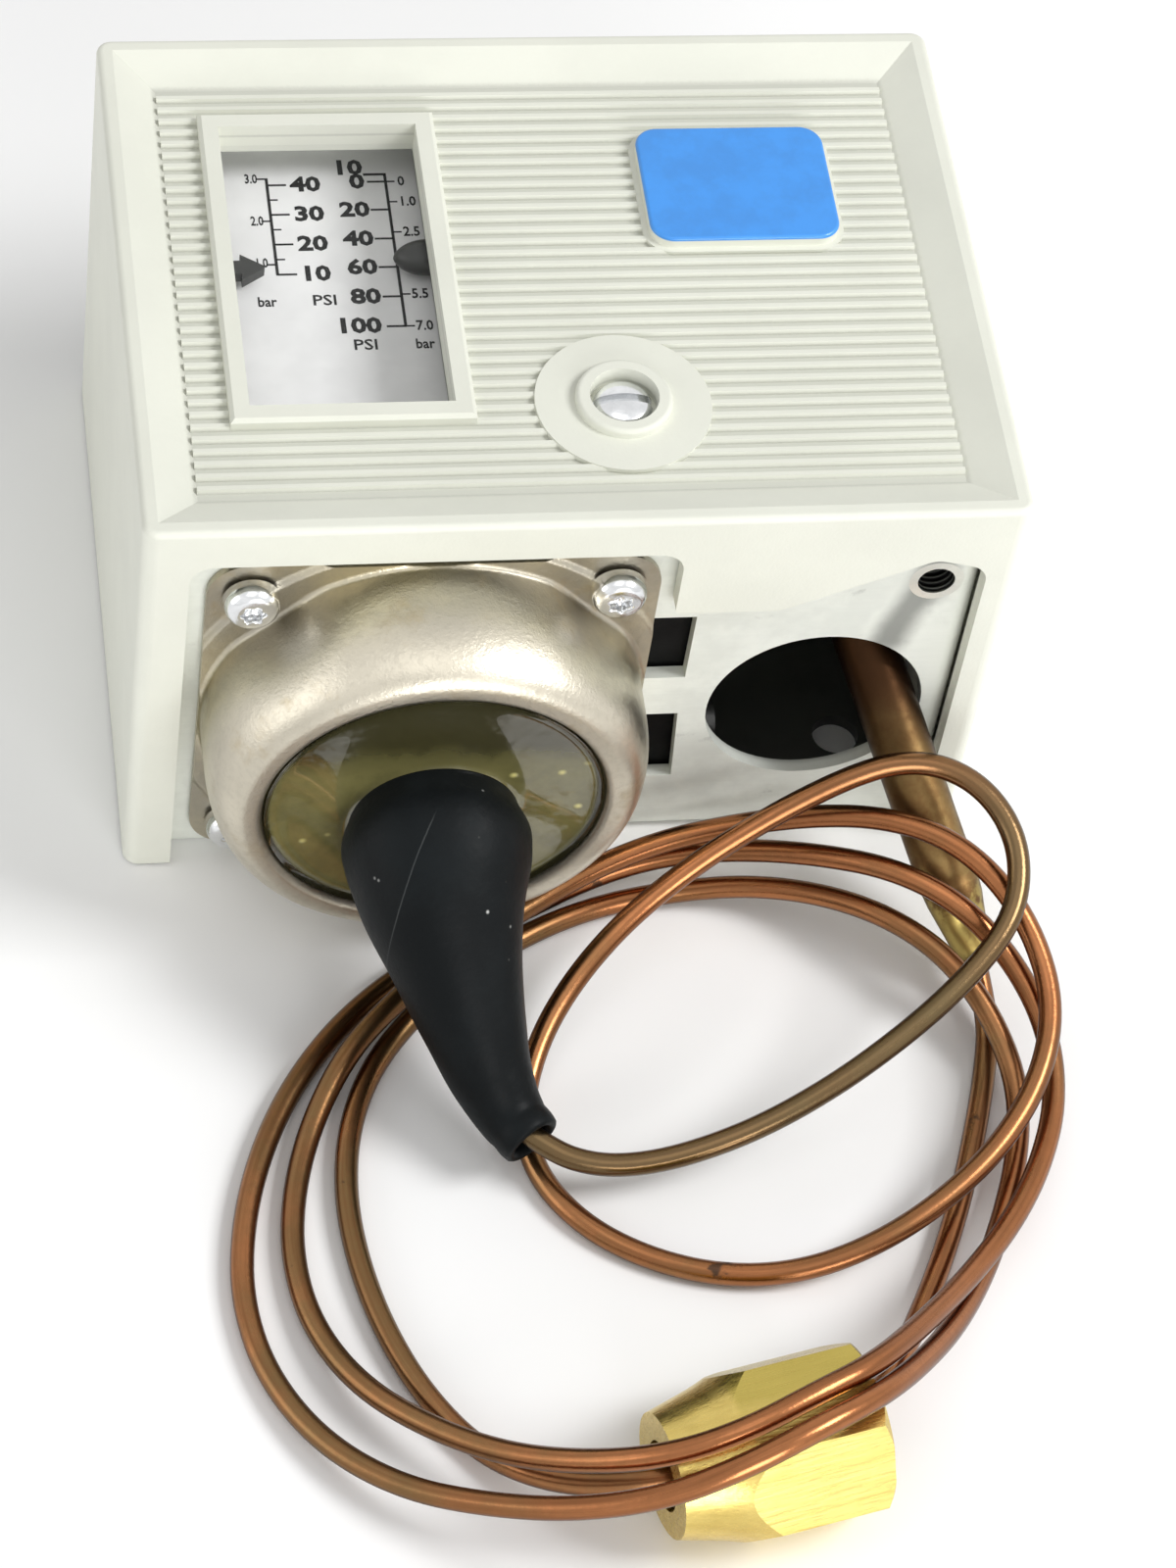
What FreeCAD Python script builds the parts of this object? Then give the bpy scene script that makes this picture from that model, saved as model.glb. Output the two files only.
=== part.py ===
import FreeCAD, Part
import math
import os

V = FreeCAD.Vector

# Refrigeration pressure control, lying on its back: X to the right, Y towards the control's top,
# Z out of its face. The origin is the centre of the back face, on the surface it lies on.

# Cover
cover_width = 88.0
cover_height = 67.0
cover_depth = 53.5
cover_wall = 2.0
cover_lift_gap = 0.3
cover_corner = 1.6
cover_edge = 0.7
rim_width = 1.6
bevel_width = 4.2
field_depth = 2.0
plate_thickness = 2.2
rib_pitch = 1.6
rib_width = 0.95
rib_height = 0.5
window_width = 20.4
window_height = 38.0
window_from_left = 21.9
window_above_middle = 2.2
window_border = 2.0
window_rise = 1.5
window_chamfer = 0.4
lens_flange = 1.5
lens_thickness = 1.0
lens_gap = 0.15
boss_from_middle = 5.0
boss_from_bottom = 16.8
boss_radius = 8.9
boss_rise = 0.65
boss_ring_radius = 4.9
boss_ring_rise = 1.7
boss_ring_round = 0.5
boss_tube_radius = 4.2
badge_width = 21.0
badge_height = 17.0
badge_from_right = 23.4
badge_above_middle = 12.0
badge_corner = 3.0
badge_thickness = 1.3
badge_inset = 0.6
badge_edge = 0.35
driver_hole_radius = 4.2

# Cut-out in the cover's bottom wall
cutout_left_post = 4.8
cutout_right_post = 3.4
cutout_below_face = 5.1
cutout_step_below_face = 14.3
cutout_slope_below_face = 7.1
cutout_housing_gap = 1.6
cutout_step_length = 10.8
cutout_slope_from_post = 5.5
cutout_slope_end_drop = 1.6
cutout_round = 2.5
cutout_step_round = 0.6
cutout_slope_round = 3.0

# Steel frame
sheet = 1.5
frame_gap = 1.0
frame_wall_gap = 0.25
frame_front_gap = 7.2
frame_top_gap = 4.0
frame_top_below_face = 7.5
frame_bend = 2.0
frame_return = 11.0
conduit_from_right = 17.3
conduit_height = 20.6
conduit_radius = 11.3
earth_hole_from_right = 7.6
earth_hole_below_edge = 5.9
earth_hole_radius = 1.9
earth_collar_radius = 2.8
earth_collar_length = 1.6
slot_width = 6.0
slot_from_switch_side = 3.0
upper_slot_below_edge = 10.5
upper_slot_length = 9.8
slot_bar = 6.0
lower_slot_low = 9.4
lower_slot_slant = 0.6
mount_hole_radius = 2.5
mount_hole_from_side = 10.4
mount_hole_from_bottom = 12.8
upper_mount_from_right = 24.0
upper_mount_from_top = 12.5

# Bellows housing
flange_from_left = 6.7
flange_low = 1.6
flange_over_edge = 0.5
flange_corner = 4.5
flange_sheet = 1.2
cup_edge_gap = 0.2
cup_sheet = 1.1
cup_depth = 14.5
cup_slope_out = 6.0
cup_slope_in = 2.2
cup_round = 2.9
cup_fold_depth = 1.65
crest_width = 5.1
pit_round = 0.8
pit_taper = 0.3
pit_depth = 2.6
screw_head_gap = 0.64
screw_notch = 9.0
screw_head_radius = 2.7
screw_head_height = 2.1
screw_head_round = 1.2
screw_radius = 1.5
screw_length = 6.0
recess_radius = 1.2
recess_depth = 1.0
potting_thickness = 1.3
potting_gap = 0.1

# Rubber boot, from the potting to the capillary
boot_right_of_pit = 0.3
boot_low_side_room = 4.6
boot_base_radius = 9.7
boot_collar = 0.6
boot_tip_radius = 3.1
boot_tip_bore = 2.2
boot_tip_depth = 3.0
# Each section between the base and the tip: its share of the way, its offset from the straight line,
# the X and Z of its direction while Y is -1, and its share of the base's extra radius.
boot_bends = [
    (0.25, (-1.80, -0.33, 1.84), (0.08, -0.38), 0.88),
    (0.46, (-2.49, -0.22, 1.87), (0.22, -0.50), 0.59),
    (0.66, (-2.39, -0.60, 1.16), (0.34, -0.55), 0.33),
    (0.82, (-1.77, -1.19, 0.35), (0.50, -0.55), 0.15),
]

# Bellows and push rod
bellows_inset = 3.3
bellows_side_gap = 0.5
bellows_depth_of_fold = 2.6
bellows_folds = 4
bellows_wall = 0.6
bellows_rim = 0.8
bellows_rim_gap = 0.1
bellows_crown_gap = 0.6
foot_side_gap = 1.8
foot_thickness = 1.2
foot_gap = 0.3
push_rod_radius = 2.5
push_rod_round = 1.2
contact_gap = 0.3

# Main lever, its pin and bracket
lever_sheet = 2.0
lever_from_left = 6.2
lever_past_range = 6.5
lever_above_pivot = 4.0
lever_below_dial = 3.5
lever_pivot_above_wall = 17.3
pivot_height = 8.0
pin_radius = 1.6
pin_clearance = 0.05
pin_head_radius = 2.4
pin_head = 0.8
ear_radius = 3.6
ear_sheet = 1.2
ear_gap = 0.3
ear_shoulder = 6.0
ear_root = 10.0
finger_width = 6.0
finger_past_plunger = 1.9
bracket_sheet = 1.2
bracket_ear_above_pin = 4.0
bracket_base_low = 2.5
bracket_base_high = 6.0

# Adjusting screws, their nuts, pointers and springs
range_from_left = 40.0
range_screw_radius = 2.5
range_nut_radius = 5.4
range_nut_height = 3.0
range_reading_y = 8.5
range_spring_radius = 5.4
range_wire = 1.3
range_turns = 6.0
diff_from_left = 11.0
diff_screw_radius = 2.0
diff_nut_radius = 4.0
diff_nut_height = 3.0
diff_reading_y = 7.1
diff_spring_radius = 3.9
diff_wire = 0.9
diff_turns = 7.0
screw_axis_below_dial = 9.1
adjuster_head_radius = 3.7
adjuster_head_height = 3.6
adjuster_seat_gap = 0.1
adjuster_slot = 1.0
adjuster_slot_depth = 1.4
adjuster_tip_above_lever = 6.0
clip_radius = 3.6
clip_thickness = 0.7
clip_gap = 0.15
nut_clearance = 0.05
pointer_lens_gap = 0.25
pointer_plane_gap = 0.25
pointer_sheet = 1.2
needle_radius = 1.6
needle_length = 4.3
needle_tip_radius = 0.2
needle_arm_radius = 0.9
arrow_length = 2.6
arrow_half_width = 1.75
arrow_arm_half_width = 0.9
range_tip_from_window = 7.2
diff_tip_from_window = -6.1
diff_arm_from_screw = 4.0
range_arm_width = 4.0
diff_arm_width = 1.6
post_sink = 0.8

# Dial bracket and scale plate
dial_sheet = 1.2
dial_left_of_window = 13.6
dial_right_of_boss = 5.1
dial_below_boss = 5.6
dial_slot_left = 6.8
dial_slot_right = 3.2
dial_slot_bottom = -5.0
dial_slot_top = 24.4
dial_flange = 3.6
dial_flange_left = 4.0
dial_flange_right = 1.0
dial_boss_wall = 1.2
scale_thickness = 0.5
scale_width = 24.6
scale_below_middle = 20.3
scale_top_gap = 0.1

# Cover screw
cover_screw_seat = 2.6
cover_screw_head_radius = 3.0
cover_screw_head_height = 2.0
cover_screw_radius = 2.0
cover_screw_engagement = 2.6
cover_screw_slot = 0.9
cover_screw_well = 3.5
cover_screw_gap = 0.3
cover_screw_slot_depth = 1.0
cover_screw_round = 0.6
thread_clearance = 0.05

# Snap switch and its terminals
switch_from_screws = 3.0
switch_width = 9.0
switch_low = 5.0
switch_below_dial = 4.9
switch_corner = 0.6
switch_gap = 0.3
switch_depth = 9.6
plunger_radius = 1.5
plunger_below_screws = 3.8
plunger_bore = 6.0
plunger_overtravel = 1.2
plunger_clearance = 0.05
terminal_from_end = 5.0
terminal_hole_depth = 3.0
terminal_slot = 0.8
terminal_head_radius = 2.7
terminal_head = 1.8
terminal_plate = 0.9
terminal_side = 6.6
terminal_shank = 1.4

# Earth screw in the wiring space
ground_from_right = 12.0
ground_from_top = 25.5
ground_head_radius = 4.0
ground_head = 2.2
ground_slot = 1.0

# Capillary, the tube it ends in, and the flare nut loose on it
capillary_diameter = 2.4
stub_diameter = 6.35
stub_wall = 0.9
stub_tip = (43.0, -52.6, 4.4)
stub_in_hole = (34.3, -31.3, 21.0)
stub_inside = 11.0
stub_taper = 7.0
stub_tip_radius = 2.0
flare_radius = 4.5
flare_length = 1.8
capillary_insert = 1.6
nut_flats = 15.9
nut_length = 20.6
nut_centre = (11.2, -110.8)
nut_turn = 12.0
nut_shoulder_radius = 6.2
nut_shoulder_length = 9.35
nut_past_corner = 0.2
nut_hollow_length = 6.0
nut_hollow_inside_flats = 0.2
nut_hollow_round = 24.0
nut_throat_radius = 3.5
nut_throat_length = 6.0
nut_thread_radius = 5.0
nut_end_chamfer = 1.0

# The capillary's route, from inside the boot's tip round the loops to the stub tube.
route = [
    (-8.6, -71.3, 6.9), (-4.8, -74.6, 5.8), (-0.2, -76.3, 5.2), (5.0, -76.5, 5.4), (10.8, -75.6, 6.2),
    (17.4, -73.8, 7.6), (24.6, -70.6, 9.2), (31.0, -67.0, 11.0), (36.2, -63.6, 12.8),
    (40.4, -60.2, 14.4), (43.6, -56.8, 16.0), (45.2, -53.2, 17.6), (45.4, -49.2, 19.3),
    (44.0, -45.5, 20.8), (41.3, -42.6, 22.0), (37.7, -40.9, 22.6), (33.6, -40.5, 22.5),
    (29.4, -41.0, 21.3), (24.8, -41.9, 19.2), (19.4, -43.4, 16.6), (13.0, -45.8, 13.4),
    (6.2, -49.4, 9.8), (0.4, -54.4, 6.8), (-4.0, -60.4, 4.4), (-6.4, -67.2, 2.2),
    (-5.8, -74.2, 1.2), (-1.8, -80.6, 1.2), (4.4, -85.0, 1.2), (11.8, -87.6, 1.4),
    (19.6, -88.0, 2.2), (27.4, -86.0, 3.6), (34.8, -82.0, 5.0), (41.2, -76.8, 6.6),
    (46.0, -70.4, 8.6), (48.4, -62.8, 10.2), (47.2, -55.6, 12.6), (43.6, -50.2, 15.6),
    (38.6, -46.0, 17.2), (32.6, -42.8, 16.4), (26.0, -40.4, 13.8), (19.0, -39.0, 10.8),
    (11.4, -38.8, 8.2), (3.6, -40.6, 6.0), (-3.6, -44.2, 4.5), (-10.6, -48.7, 4.2),
    (-17.2, -53.8, 4.0), (-23.2, -59.6, 2.9), (-27.4, -66.8, 1.5), (-30.0, -74.6, 1.2),
    (-31.0, -82.6, 1.2), (-29.8, -90.8, 1.6), (-26.0, -98.4, 2.8), (-20.0, -104.4, 4.6),
    (-13.2, -109.2, 7.0), (-6.2, -112.6, 10.8), (0.8, -115.0, 15.6), (7.8, -114.4, 18.6),
    (14.9, -111.2, 19.2), (20.9, -108.0, 18.2), (27.5, -101.2, 13.4), (34.4, -93.3, 8.4),
    (40.4, -86.0, 5.8), (45.0, -78.8, 4.8), (48.2, -70.8, 4.8), (48.4, -62.8, 6.4),
    (45.2, -56.0, 9.4), (39.8, -51.2, 12.9), (33.6, -46.8, 12.9), (26.8, -42.6, 10.0),
    (19.6, -39.6, 7.2), (12.0, -38.4, 5.1), (4.4, -39.4, 3.2), (-3.3, -42.3, 1.6),
    (-10.4, -45.8, 1.2), (-17.4, -50.0, 1.2), (-23.8, -55.6, 1.2), (-29.1, -62.5, 1.2),
    (-33.0, -70.3, 1.2), (-35.5, -78.8, 1.2), (-36.3, -87.4, 1.2), (-34.6, -96.1, 1.4),
    (-30.0, -104.2, 2.2), (-23.2, -110.4, 4.0), (-15.6, -114.3, 6.8), (-7.8, -117.3, 10.4),
    (0.0, -118.9, 14.8), (7.2, -118.3, 19.0), (14.3, -115.4, 20.2), (20.6, -111.6, 18.4),
    (26.4, -105.8, 13.6), (32.3, -98.3, 8.0), (37.4, -90.0, 3.8), (41.0, -82.6, 2.6),
    (43.8, -75.2, 2.4), (45.0, -67.6, 3.4), (42.8, -60.4, 6.0), (38.6, -54.6, 8.4),
    (33.4, -49.6, 8.4), (27.6, -45.0, 6.2), (20.8, -41.9, 3.9), (13.2, -40.9, 2.0),
    (5.4, -41.7, 1.2), (-2.2, -44.6, 1.2), (-9.4, -49.0, 1.2), (-15.8, -54.4, 1.2),
    (-20.8, -60.6, 1.2), (-23.8, -67.6, 1.2), (-25.0, -75.2, 1.2), (-24.6, -83.0, 1.2),
    (-22.8, -91.2, 1.2), (-19.6, -99.0, 1.2), (-14.8, -105.8, 1.4), (-8.6, -110.6, 3.6),
    (-1.6, -112.8, 6.4), (6.0, -112.2, 7.0), (13.5, -110.6, 7.4), (20.1, -107.7, 6.8),
    (25.3, -102.4, 4.4), (29.7, -95.0, 2.0), (33.8, -87.4, 1.2), (37.2, -79.8, 1.2),
    (40.0, -72.2, 1.2), (42.4, -64.8, 1.2), (43.8, -58.4, 2.2),
]

# Places worked out from the sizes above
left = -cover_width / 2
right = cover_width / 2
bottom = -cover_height / 2
top = cover_height / 2
field_z = cover_depth - field_depth
inner_z = field_z - plate_thickness
rib_top = field_z + rib_height
cutout_top = cover_depth - cutout_below_face
cutout_step = cover_depth - cutout_step_below_face
cutout_slope_top = cover_depth - cutout_slope_below_face
boss_x = boss_from_middle
boss_y = bottom + boss_from_bottom
window_x = left + window_from_left
badge_x = right - badge_from_right
seat_z = cover_depth - cover_screw_seat
lens_under = inner_z - lens_thickness
needle_z = lens_under - pointer_lens_gap - needle_radius
scale_z = needle_z - needle_radius - pointer_plane_gap
bracket_z = scale_z - scale_thickness
dial_height = bracket_z - dial_sheet
screw_axis_height = dial_height - screw_axis_below_dial
frame_half = cover_width / 2 - cover_wall - frame_gap
wall_y = bottom + cover_wall + frame_wall_gap
wall_inner_y = wall_y + sheet
frame_top_y = top - cover_wall - frame_top_gap
frame_top_inner = frame_top_y - sheet
frame_wall_height = cover_depth - frame_front_gap
frame_top_height = cover_depth - frame_top_below_face
conduit_x = right - conduit_from_right
earth_x = right - earth_hole_from_right
earth_z = frame_wall_height - earth_hole_below_edge
upper_slot_high = frame_wall_height - upper_slot_below_edge
upper_slot_low = upper_slot_high - upper_slot_length
lower_slot_high = upper_slot_low - slot_bar
flange_side = frame_wall_height + flange_over_edge - flange_low
housing_x = left + flange_from_left + flange_side / 2
housing_height = flange_low + flange_side / 2
cup_radius = flange_side / 2 - cup_edge_gap
housing_screw_offset = (cup_radius + screw_head_radius + screw_head_gap) / math.sqrt(2)
pit_radius = cup_radius - crest_width
pit_floor_radius = pit_radius - pit_taper
bellows_radius = pit_radius - bellows_inset
housing_opening = bellows_radius + bellows_side_gap
foot_radius = bellows_radius - bellows_depth_of_fold - bellows_wall - foot_side_gap
cup_y = wall_y - cup_depth
pit_y = cup_y + pit_depth
potting_y = pit_y - potting_thickness
boot_base_x = housing_x + boot_right_of_pit
boot_base_z = housing_height - pit_radius + boot_low_side_room + boot_base_radius
bellows_crown_y = pit_y + cup_sheet + bellows_crown_gap
pivot_y = wall_y + lever_pivot_above_wall
lever_under = pivot_y - lever_sheet / 2
lever_over = pivot_y + lever_sheet / 2
range_x = left + range_from_left
diff_x = left + diff_from_left
lever_x0 = left + lever_from_left
lever_x1 = range_x + lever_past_range
lever_low = pivot_height + lever_above_pivot
lever_high = dial_height - lever_below_dial
bracket_x0 = lever_x0 - ear_gap - bracket_sheet
bracket_x1 = lever_x1 + ear_gap + bracket_sheet
range_tip_x = window_x + range_tip_from_window
diff_tip_x = window_x + diff_tip_from_window
diff_arm_x = diff_x - diff_arm_from_screw
switch_x0 = housing_x + housing_screw_offset + switch_from_screws
switch_x1 = switch_x0 + switch_width
switch_y0 = wall_inner_y + switch_gap
switch_y1 = switch_y0 + switch_depth
switch_middle_y = (switch_y0 + switch_y1) / 2
switch_high = dial_height - switch_below_dial
plunger_x = (switch_x0 + switch_x1) / 2
plunger_height = screw_axis_height - plunger_below_screws
ground_x = right - ground_from_right
ground_y = top - ground_from_top
mount_hole_x = right - mount_hole_from_side
terminal_places = (switch_low + terminal_from_end, switch_high - terminal_from_end)

# How far cutting solids reach past the faces they cut, and how far joined solids sink into each other
past = 1.0
sunk = 0.5


def block(x0, x1, y0, y1, z0, z1):
    return Part.makeBox(x1 - x0, y1 - y0, z1 - z0, V(x0, y0, z0))


def rod(radius, start, end):
    start, end = V(*start), V(*end)
    return Part.makeCylinder(radius, (end - start).Length, start, end - start)


def cone(radius_start, radius_end, start, end):
    start, end = V(*start), V(*end)
    return Part.makeCone(radius_start, radius_end, (end - start).Length, start, end - start)


def rounded_wire(corners, place):
    """Closed outline through (u, v, radius) corners, each rounded by a tangent arc."""
    spots = []
    count = len(corners)
    for index, (u, v, radius) in enumerate(corners):
        corner = V(u, v, 0)
        before = V(*corners[index - 1][:2], 0) - corner
        after = V(*corners[(index + 1) % count][:2], 0) - corner
        if radius == 0:
            spots.append((corner, None, corner))
            continue
        half = before.getAngle(after) / 2
        back = radius / math.tan(half)
        bisector = (before.normalize() + after.normalize()).normalize()
        middle = corner + bisector * (radius / math.sin(half) - radius)
        spots.append((corner + before * back, middle, corner + after * back))
    edges = []
    for index, (start, middle, end) in enumerate(spots):
        if middle is not None:
            edges.append(Part.Arc(place(start), place(middle), place(end)).toShape())
        following = spots[(index + 1) % count][0]
        if (following - end).Length > 1e-6:
            edges.append(Part.LineSegment(place(end), place(following)).toShape())
    return Part.Wire(edges)


def on_z(height):
    return lambda p: V(p.x, p.y, height)


def on_y(depth):
    return lambda p: V(p.x, depth, p.y)


def on_x(offset):
    return lambda p: V(offset, p.x, p.y)


def prism(corners, place, travel):
    return Part.Face(rounded_wire(corners, place)).extrude(V(*travel))


def rounded_box(x0, x1, y0, y1, z0, z1, radius):
    corners = [(x0, y0, radius), (x1, y0, radius), (x1, y1, radius), (x0, y1, radius)]
    return prism(corners, on_z(z0), (0, 0, z1 - z0))


def turned_about_y(corners, x, z, y_sign=1):
    """Solid of revolution about a line along Y at (x, z), from (radius, y) corners."""
    wire = rounded_wire(corners, lambda p: V(x + p.x, y_sign * p.y, z))
    return Part.Face(wire).revolve(V(x, 0, z), V(0, 1, 0), 360)


def save(name, shape):
    shape = shape.removeSplitter()
    shape.exportStep("parts/%s.step" % name)
    print("%-18s solids %d volume %.1f" % (name, len(shape.Solids), shape.Volume))


def edges_where(shape, test):
    return [edge for edge in shape.Edges if all(test(vertex.Point) for vertex in edge.Vertexes)]


def make_cover():
    body = rounded_box(left, right, bottom, top, cover_lift_gap, cover_depth, cover_corner)
    body = body.makeFillet(cover_edge, edges_where(body, lambda p: p.z > cover_depth - 0.01))
    inner_corner = max(cover_corner - cover_wall, 0.5)
    body = body.cut(rounded_box(left + cover_wall, right - cover_wall, bottom + cover_wall,
                                top - cover_wall, 0, inner_z, inner_corner))
    body = body.cut(make_recess())
    body = body.multiFuse(make_ribs() + make_pads())
    body = body.cut(block(window_x - window_width / 2, window_x + window_width / 2,
                          window_above_middle - window_height / 2,
                          window_above_middle + window_height / 2, inner_z - past, cover_depth + past))
    body = body.fuse(rod(boss_tube_radius, (boss_x, boss_y, bracket_z + cover_lift_gap),
                         (boss_x, boss_y, inner_z + sunk)))
    body = body.cut(rod(cover_screw_radius + cover_screw_gap, (boss_x, boss_y, dial_height),
                        (boss_x, boss_y, cover_depth + past)))
    body = body.cut(rod(cover_screw_well, (boss_x, boss_y, seat_z), (boss_x, boss_y, cover_depth + past)))
    body = body.cut(make_cutout())
    for x in (range_x, diff_x):
        body = body.cut(rod(driver_hole_radius, (x, top - cover_wall - past, screw_axis_height),
                            (x, top + past, screw_axis_height)))
    return body


def make_recess():
    """The sloping step down from the rim to the ribbed field."""
    wires = []
    for inset, height in ((rim_width - bevel_width, cover_depth + field_depth),
                          (rim_width + bevel_width, field_z)):
        half_x = cover_width / 2 - inset
        half_y = cover_height / 2 - inset
        corners = [(-half_x, -half_y, 0), (half_x, -half_y, 0), (half_x, half_y, 0), (-half_x, half_y, 0)]
        wires.append(rounded_wire(corners, on_z(height)))
    return Part.makeLoft(wires, True, True)


def make_ribs():
    """Ridges along X across the field, left out under the window frame, the boss and the badge."""
    half_x = cover_width / 2 - rim_width - bevel_width
    half_y = cover_height / 2 - rim_width - bevel_width
    count = int(2 * half_y / rib_pitch)
    foot = rib_width / 2
    crown = rib_width / 4
    ribs = []
    for index in range(count):
        y = (index - (count - 1) / 2) * rib_pitch
        corners = [(y - foot, field_z - sunk, 0), (y + foot, field_z - sunk, 0), (y + foot, field_z, 0),
                   (y + crown, rib_top, 0), (y - crown, rib_top, 0), (y - foot, field_z, 0)]
        ribs.append(prism(corners, on_x(-half_x), (2 * half_x, 0, 0)))
    return ribs


def make_pads():
    """The window frame, the boss with its ring and the flat pad under the badge."""
    half_w = window_width / 2 + window_border
    half_h = window_height / 2 + window_border
    low = field_z - sunk
    crest = field_z + window_rise
    surround = block(window_x - half_w, window_x + half_w, window_above_middle - half_h,
                     window_above_middle + half_h, low, crest)
    surround = surround.makeChamfer(window_chamfer, edges_where(surround, lambda p: p.z > crest - 0.01))
    disc = rod(boss_radius, (boss_x, boss_y, low), (boss_x, boss_y, field_z + boss_rise))
    ring_top = field_z + boss_ring_rise
    ring = rod(boss_ring_radius, (boss_x, boss_y, low), (boss_x, boss_y, ring_top))
    ring = ring.makeFillet(boss_ring_round, edges_where(ring, lambda p: p.z > ring_top - 0.01))
    pad = rounded_box(badge_x - badge_width / 2, badge_x + badge_width / 2,
                      badge_above_middle - badge_height / 2, badge_above_middle + badge_height / 2,
                      low, rib_top, badge_corner)
    return [surround, disc, ring, pad]


def make_cutout():
    """The opening in the bottom wall, round the bellows housing and the conduit hole."""
    x0 = left + cutout_left_post
    x1 = right - cutout_right_post
    step_x = housing_x + flange_side / 2 + cutout_housing_gap
    corners = [(x0, -past, 0), (x0, cutout_top, cutout_round), (step_x, cutout_top, cutout_round),
               (step_x, cutout_step, cutout_step_round),
               (step_x + cutout_step_length, cutout_step, cutout_slope_round),
               (x1 - cutout_slope_from_post, cutout_slope_top, cutout_round),
               (x1, cutout_slope_top - cutout_slope_end_drop, cutout_round), (x1, -past, 0)]
    return prism(corners, on_y(bottom - past), (0, cover_wall + past + sunk, 0))


def make_lens():
    """Clear window: a plate behind the cover's face with a raised block that fills the opening."""
    half_w = window_width / 2
    half_h = window_height / 2
    plate = block(window_x - half_w - lens_flange, window_x + half_w + lens_flange,
                  window_above_middle - half_h - lens_flange, window_above_middle + half_h + lens_flange,
                  inner_z - lens_thickness, inner_z)
    crown = block(window_x - half_w + lens_gap, window_x + half_w - lens_gap,
                  window_above_middle - half_h + lens_gap, window_above_middle + half_h - lens_gap,
                  inner_z, inner_z + lens_thickness)
    return plate.fuse(crown)


def make_badge():
    half_w = badge_width / 2 - badge_inset
    half_h = badge_height / 2 - badge_inset
    face = rib_top + badge_thickness
    badge = rounded_box(badge_x - half_w, badge_x + half_w, badge_above_middle - half_h,
                        badge_above_middle + half_h, rib_top, face, badge_corner - badge_inset)
    return badge.makeFillet(badge_edge, edges_where(badge, lambda p: p.z > face - 0.01))


def make_cover_screw():
    tip_z = bracket_z - cover_screw_engagement
    crown = seat_z + cover_screw_head_height
    head = rod(cover_screw_head_radius, (boss_x, boss_y, seat_z), (boss_x, boss_y, crown))
    head = head.makeFillet(cover_screw_round, edges_where(head, lambda p: p.z > crown - 0.01))
    half = cover_screw_slot / 2
    head = head.cut(block(boss_x - cover_screw_well, boss_x + cover_screw_well, boss_y - half, boss_y + half,
                          crown - cover_screw_slot_depth, crown + past))
    return head.fuse(rod(cover_screw_radius, (boss_x, boss_y, tip_z), (boss_x, boss_y, seat_z)))


def make_frame():
    """Pressed steel tray: back, bottom wall with two side returns, and top wall."""
    inner_bend = max(frame_bend - sheet, 0.3)
    corners = [(wall_y, frame_wall_height, 0), (wall_y, 0, frame_bend), (frame_top_y, 0, frame_bend),
               (frame_top_y, frame_top_height, 0), (frame_top_inner, frame_top_height, 0),
               (frame_top_inner, sheet, inner_bend), (wall_inner_y, sheet, inner_bend),
               (wall_inner_y, frame_wall_height, 0)]
    tray = prism(corners, on_x(-frame_half), (2 * frame_half, 0, 0))
    end_y = wall_y + frame_return
    for side in (-1, 1):
        edge = side * frame_half
        start = side * (frame_half - frame_bend)
        x0, x1 = sorted((start, edge + side * past))
        tray = tray.cut(block(x0, x1, wall_y - past, wall_inner_y + past,
                              frame_bend, frame_wall_height + past))
        inside = edge - side * sheet
        corners = [(start, wall_y, 0), (edge, wall_y, frame_bend), (edge, end_y, 0), (inside, end_y, 0),
                   (inside, wall_inner_y, inner_bend), (start, wall_inner_y, 0)]
        tray = tray.fuse(prism(corners, on_z(frame_bend), (0, 0, frame_wall_height - frame_bend)))
    for cutter in frame_holes():
        tray = tray.cut(cutter)
    return tray


def frame_holes():
    y0, y1 = wall_y - past, wall_inner_y + past
    holes = [rod(conduit_radius, (conduit_x, y0, conduit_height), (conduit_x, y1, conduit_height)),
             rod(housing_opening, (housing_x, y0, housing_height), (housing_x, y1, housing_height)),
             rod(earth_collar_radius, (earth_x, y0, earth_z), (earth_x, y1, earth_z))]
    for x, z in housing_screw_places():
        holes.append(rod(screw_radius + thread_clearance, (x, y0, z), (x, y1, z)))
    slot_x1 = switch_x1 - slot_from_switch_side
    slot_x0 = slot_x1 - slot_width
    holes.append(block(slot_x0, slot_x1, y0, y1, upper_slot_low, upper_slot_high))
    corners = [(slot_x0, lower_slot_low, 0), (slot_x1 + lower_slot_slant, lower_slot_low, 0),
               (slot_x1, lower_slot_high, 0), (slot_x0, lower_slot_high, 0)]
    holes.append(prism(corners, on_y(y0), (0, y1 - y0, 0)))
    for x, y in mount_places():
        holes.append(rod(mount_hole_radius, (x, y, -past), (x, y, sheet + past)))
    for x, radius in ((range_x, range_screw_radius), (diff_x, diff_screw_radius)):
        holes.append(rod(radius + nut_clearance, (x, frame_top_inner - past, screw_axis_height),
                         (x, frame_top_y + past, screw_axis_height)))
    holes.append(rod(terminal_shank + thread_clearance, (ground_x, ground_y, -past),
                     (ground_x, ground_y, sheet + past)))
    return holes


def make_earth_bush():
    """Threaded bush pressed into the frame's bottom wall; its thread is left plain."""
    end_y = wall_inner_y + earth_collar_length
    bush = rod(earth_collar_radius, (earth_x, wall_y, earth_z), (earth_x, end_y, earth_z))
    return bush.cut(rod(earth_hole_radius, (earth_x, wall_y - past, earth_z),
                        (earth_x, end_y + past, earth_z)))


def housing_screw_places():
    return [(housing_x + a * housing_screw_offset, housing_height + b * housing_screw_offset)
            for a in (-1, 1) for b in (-1, 1)]


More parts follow.
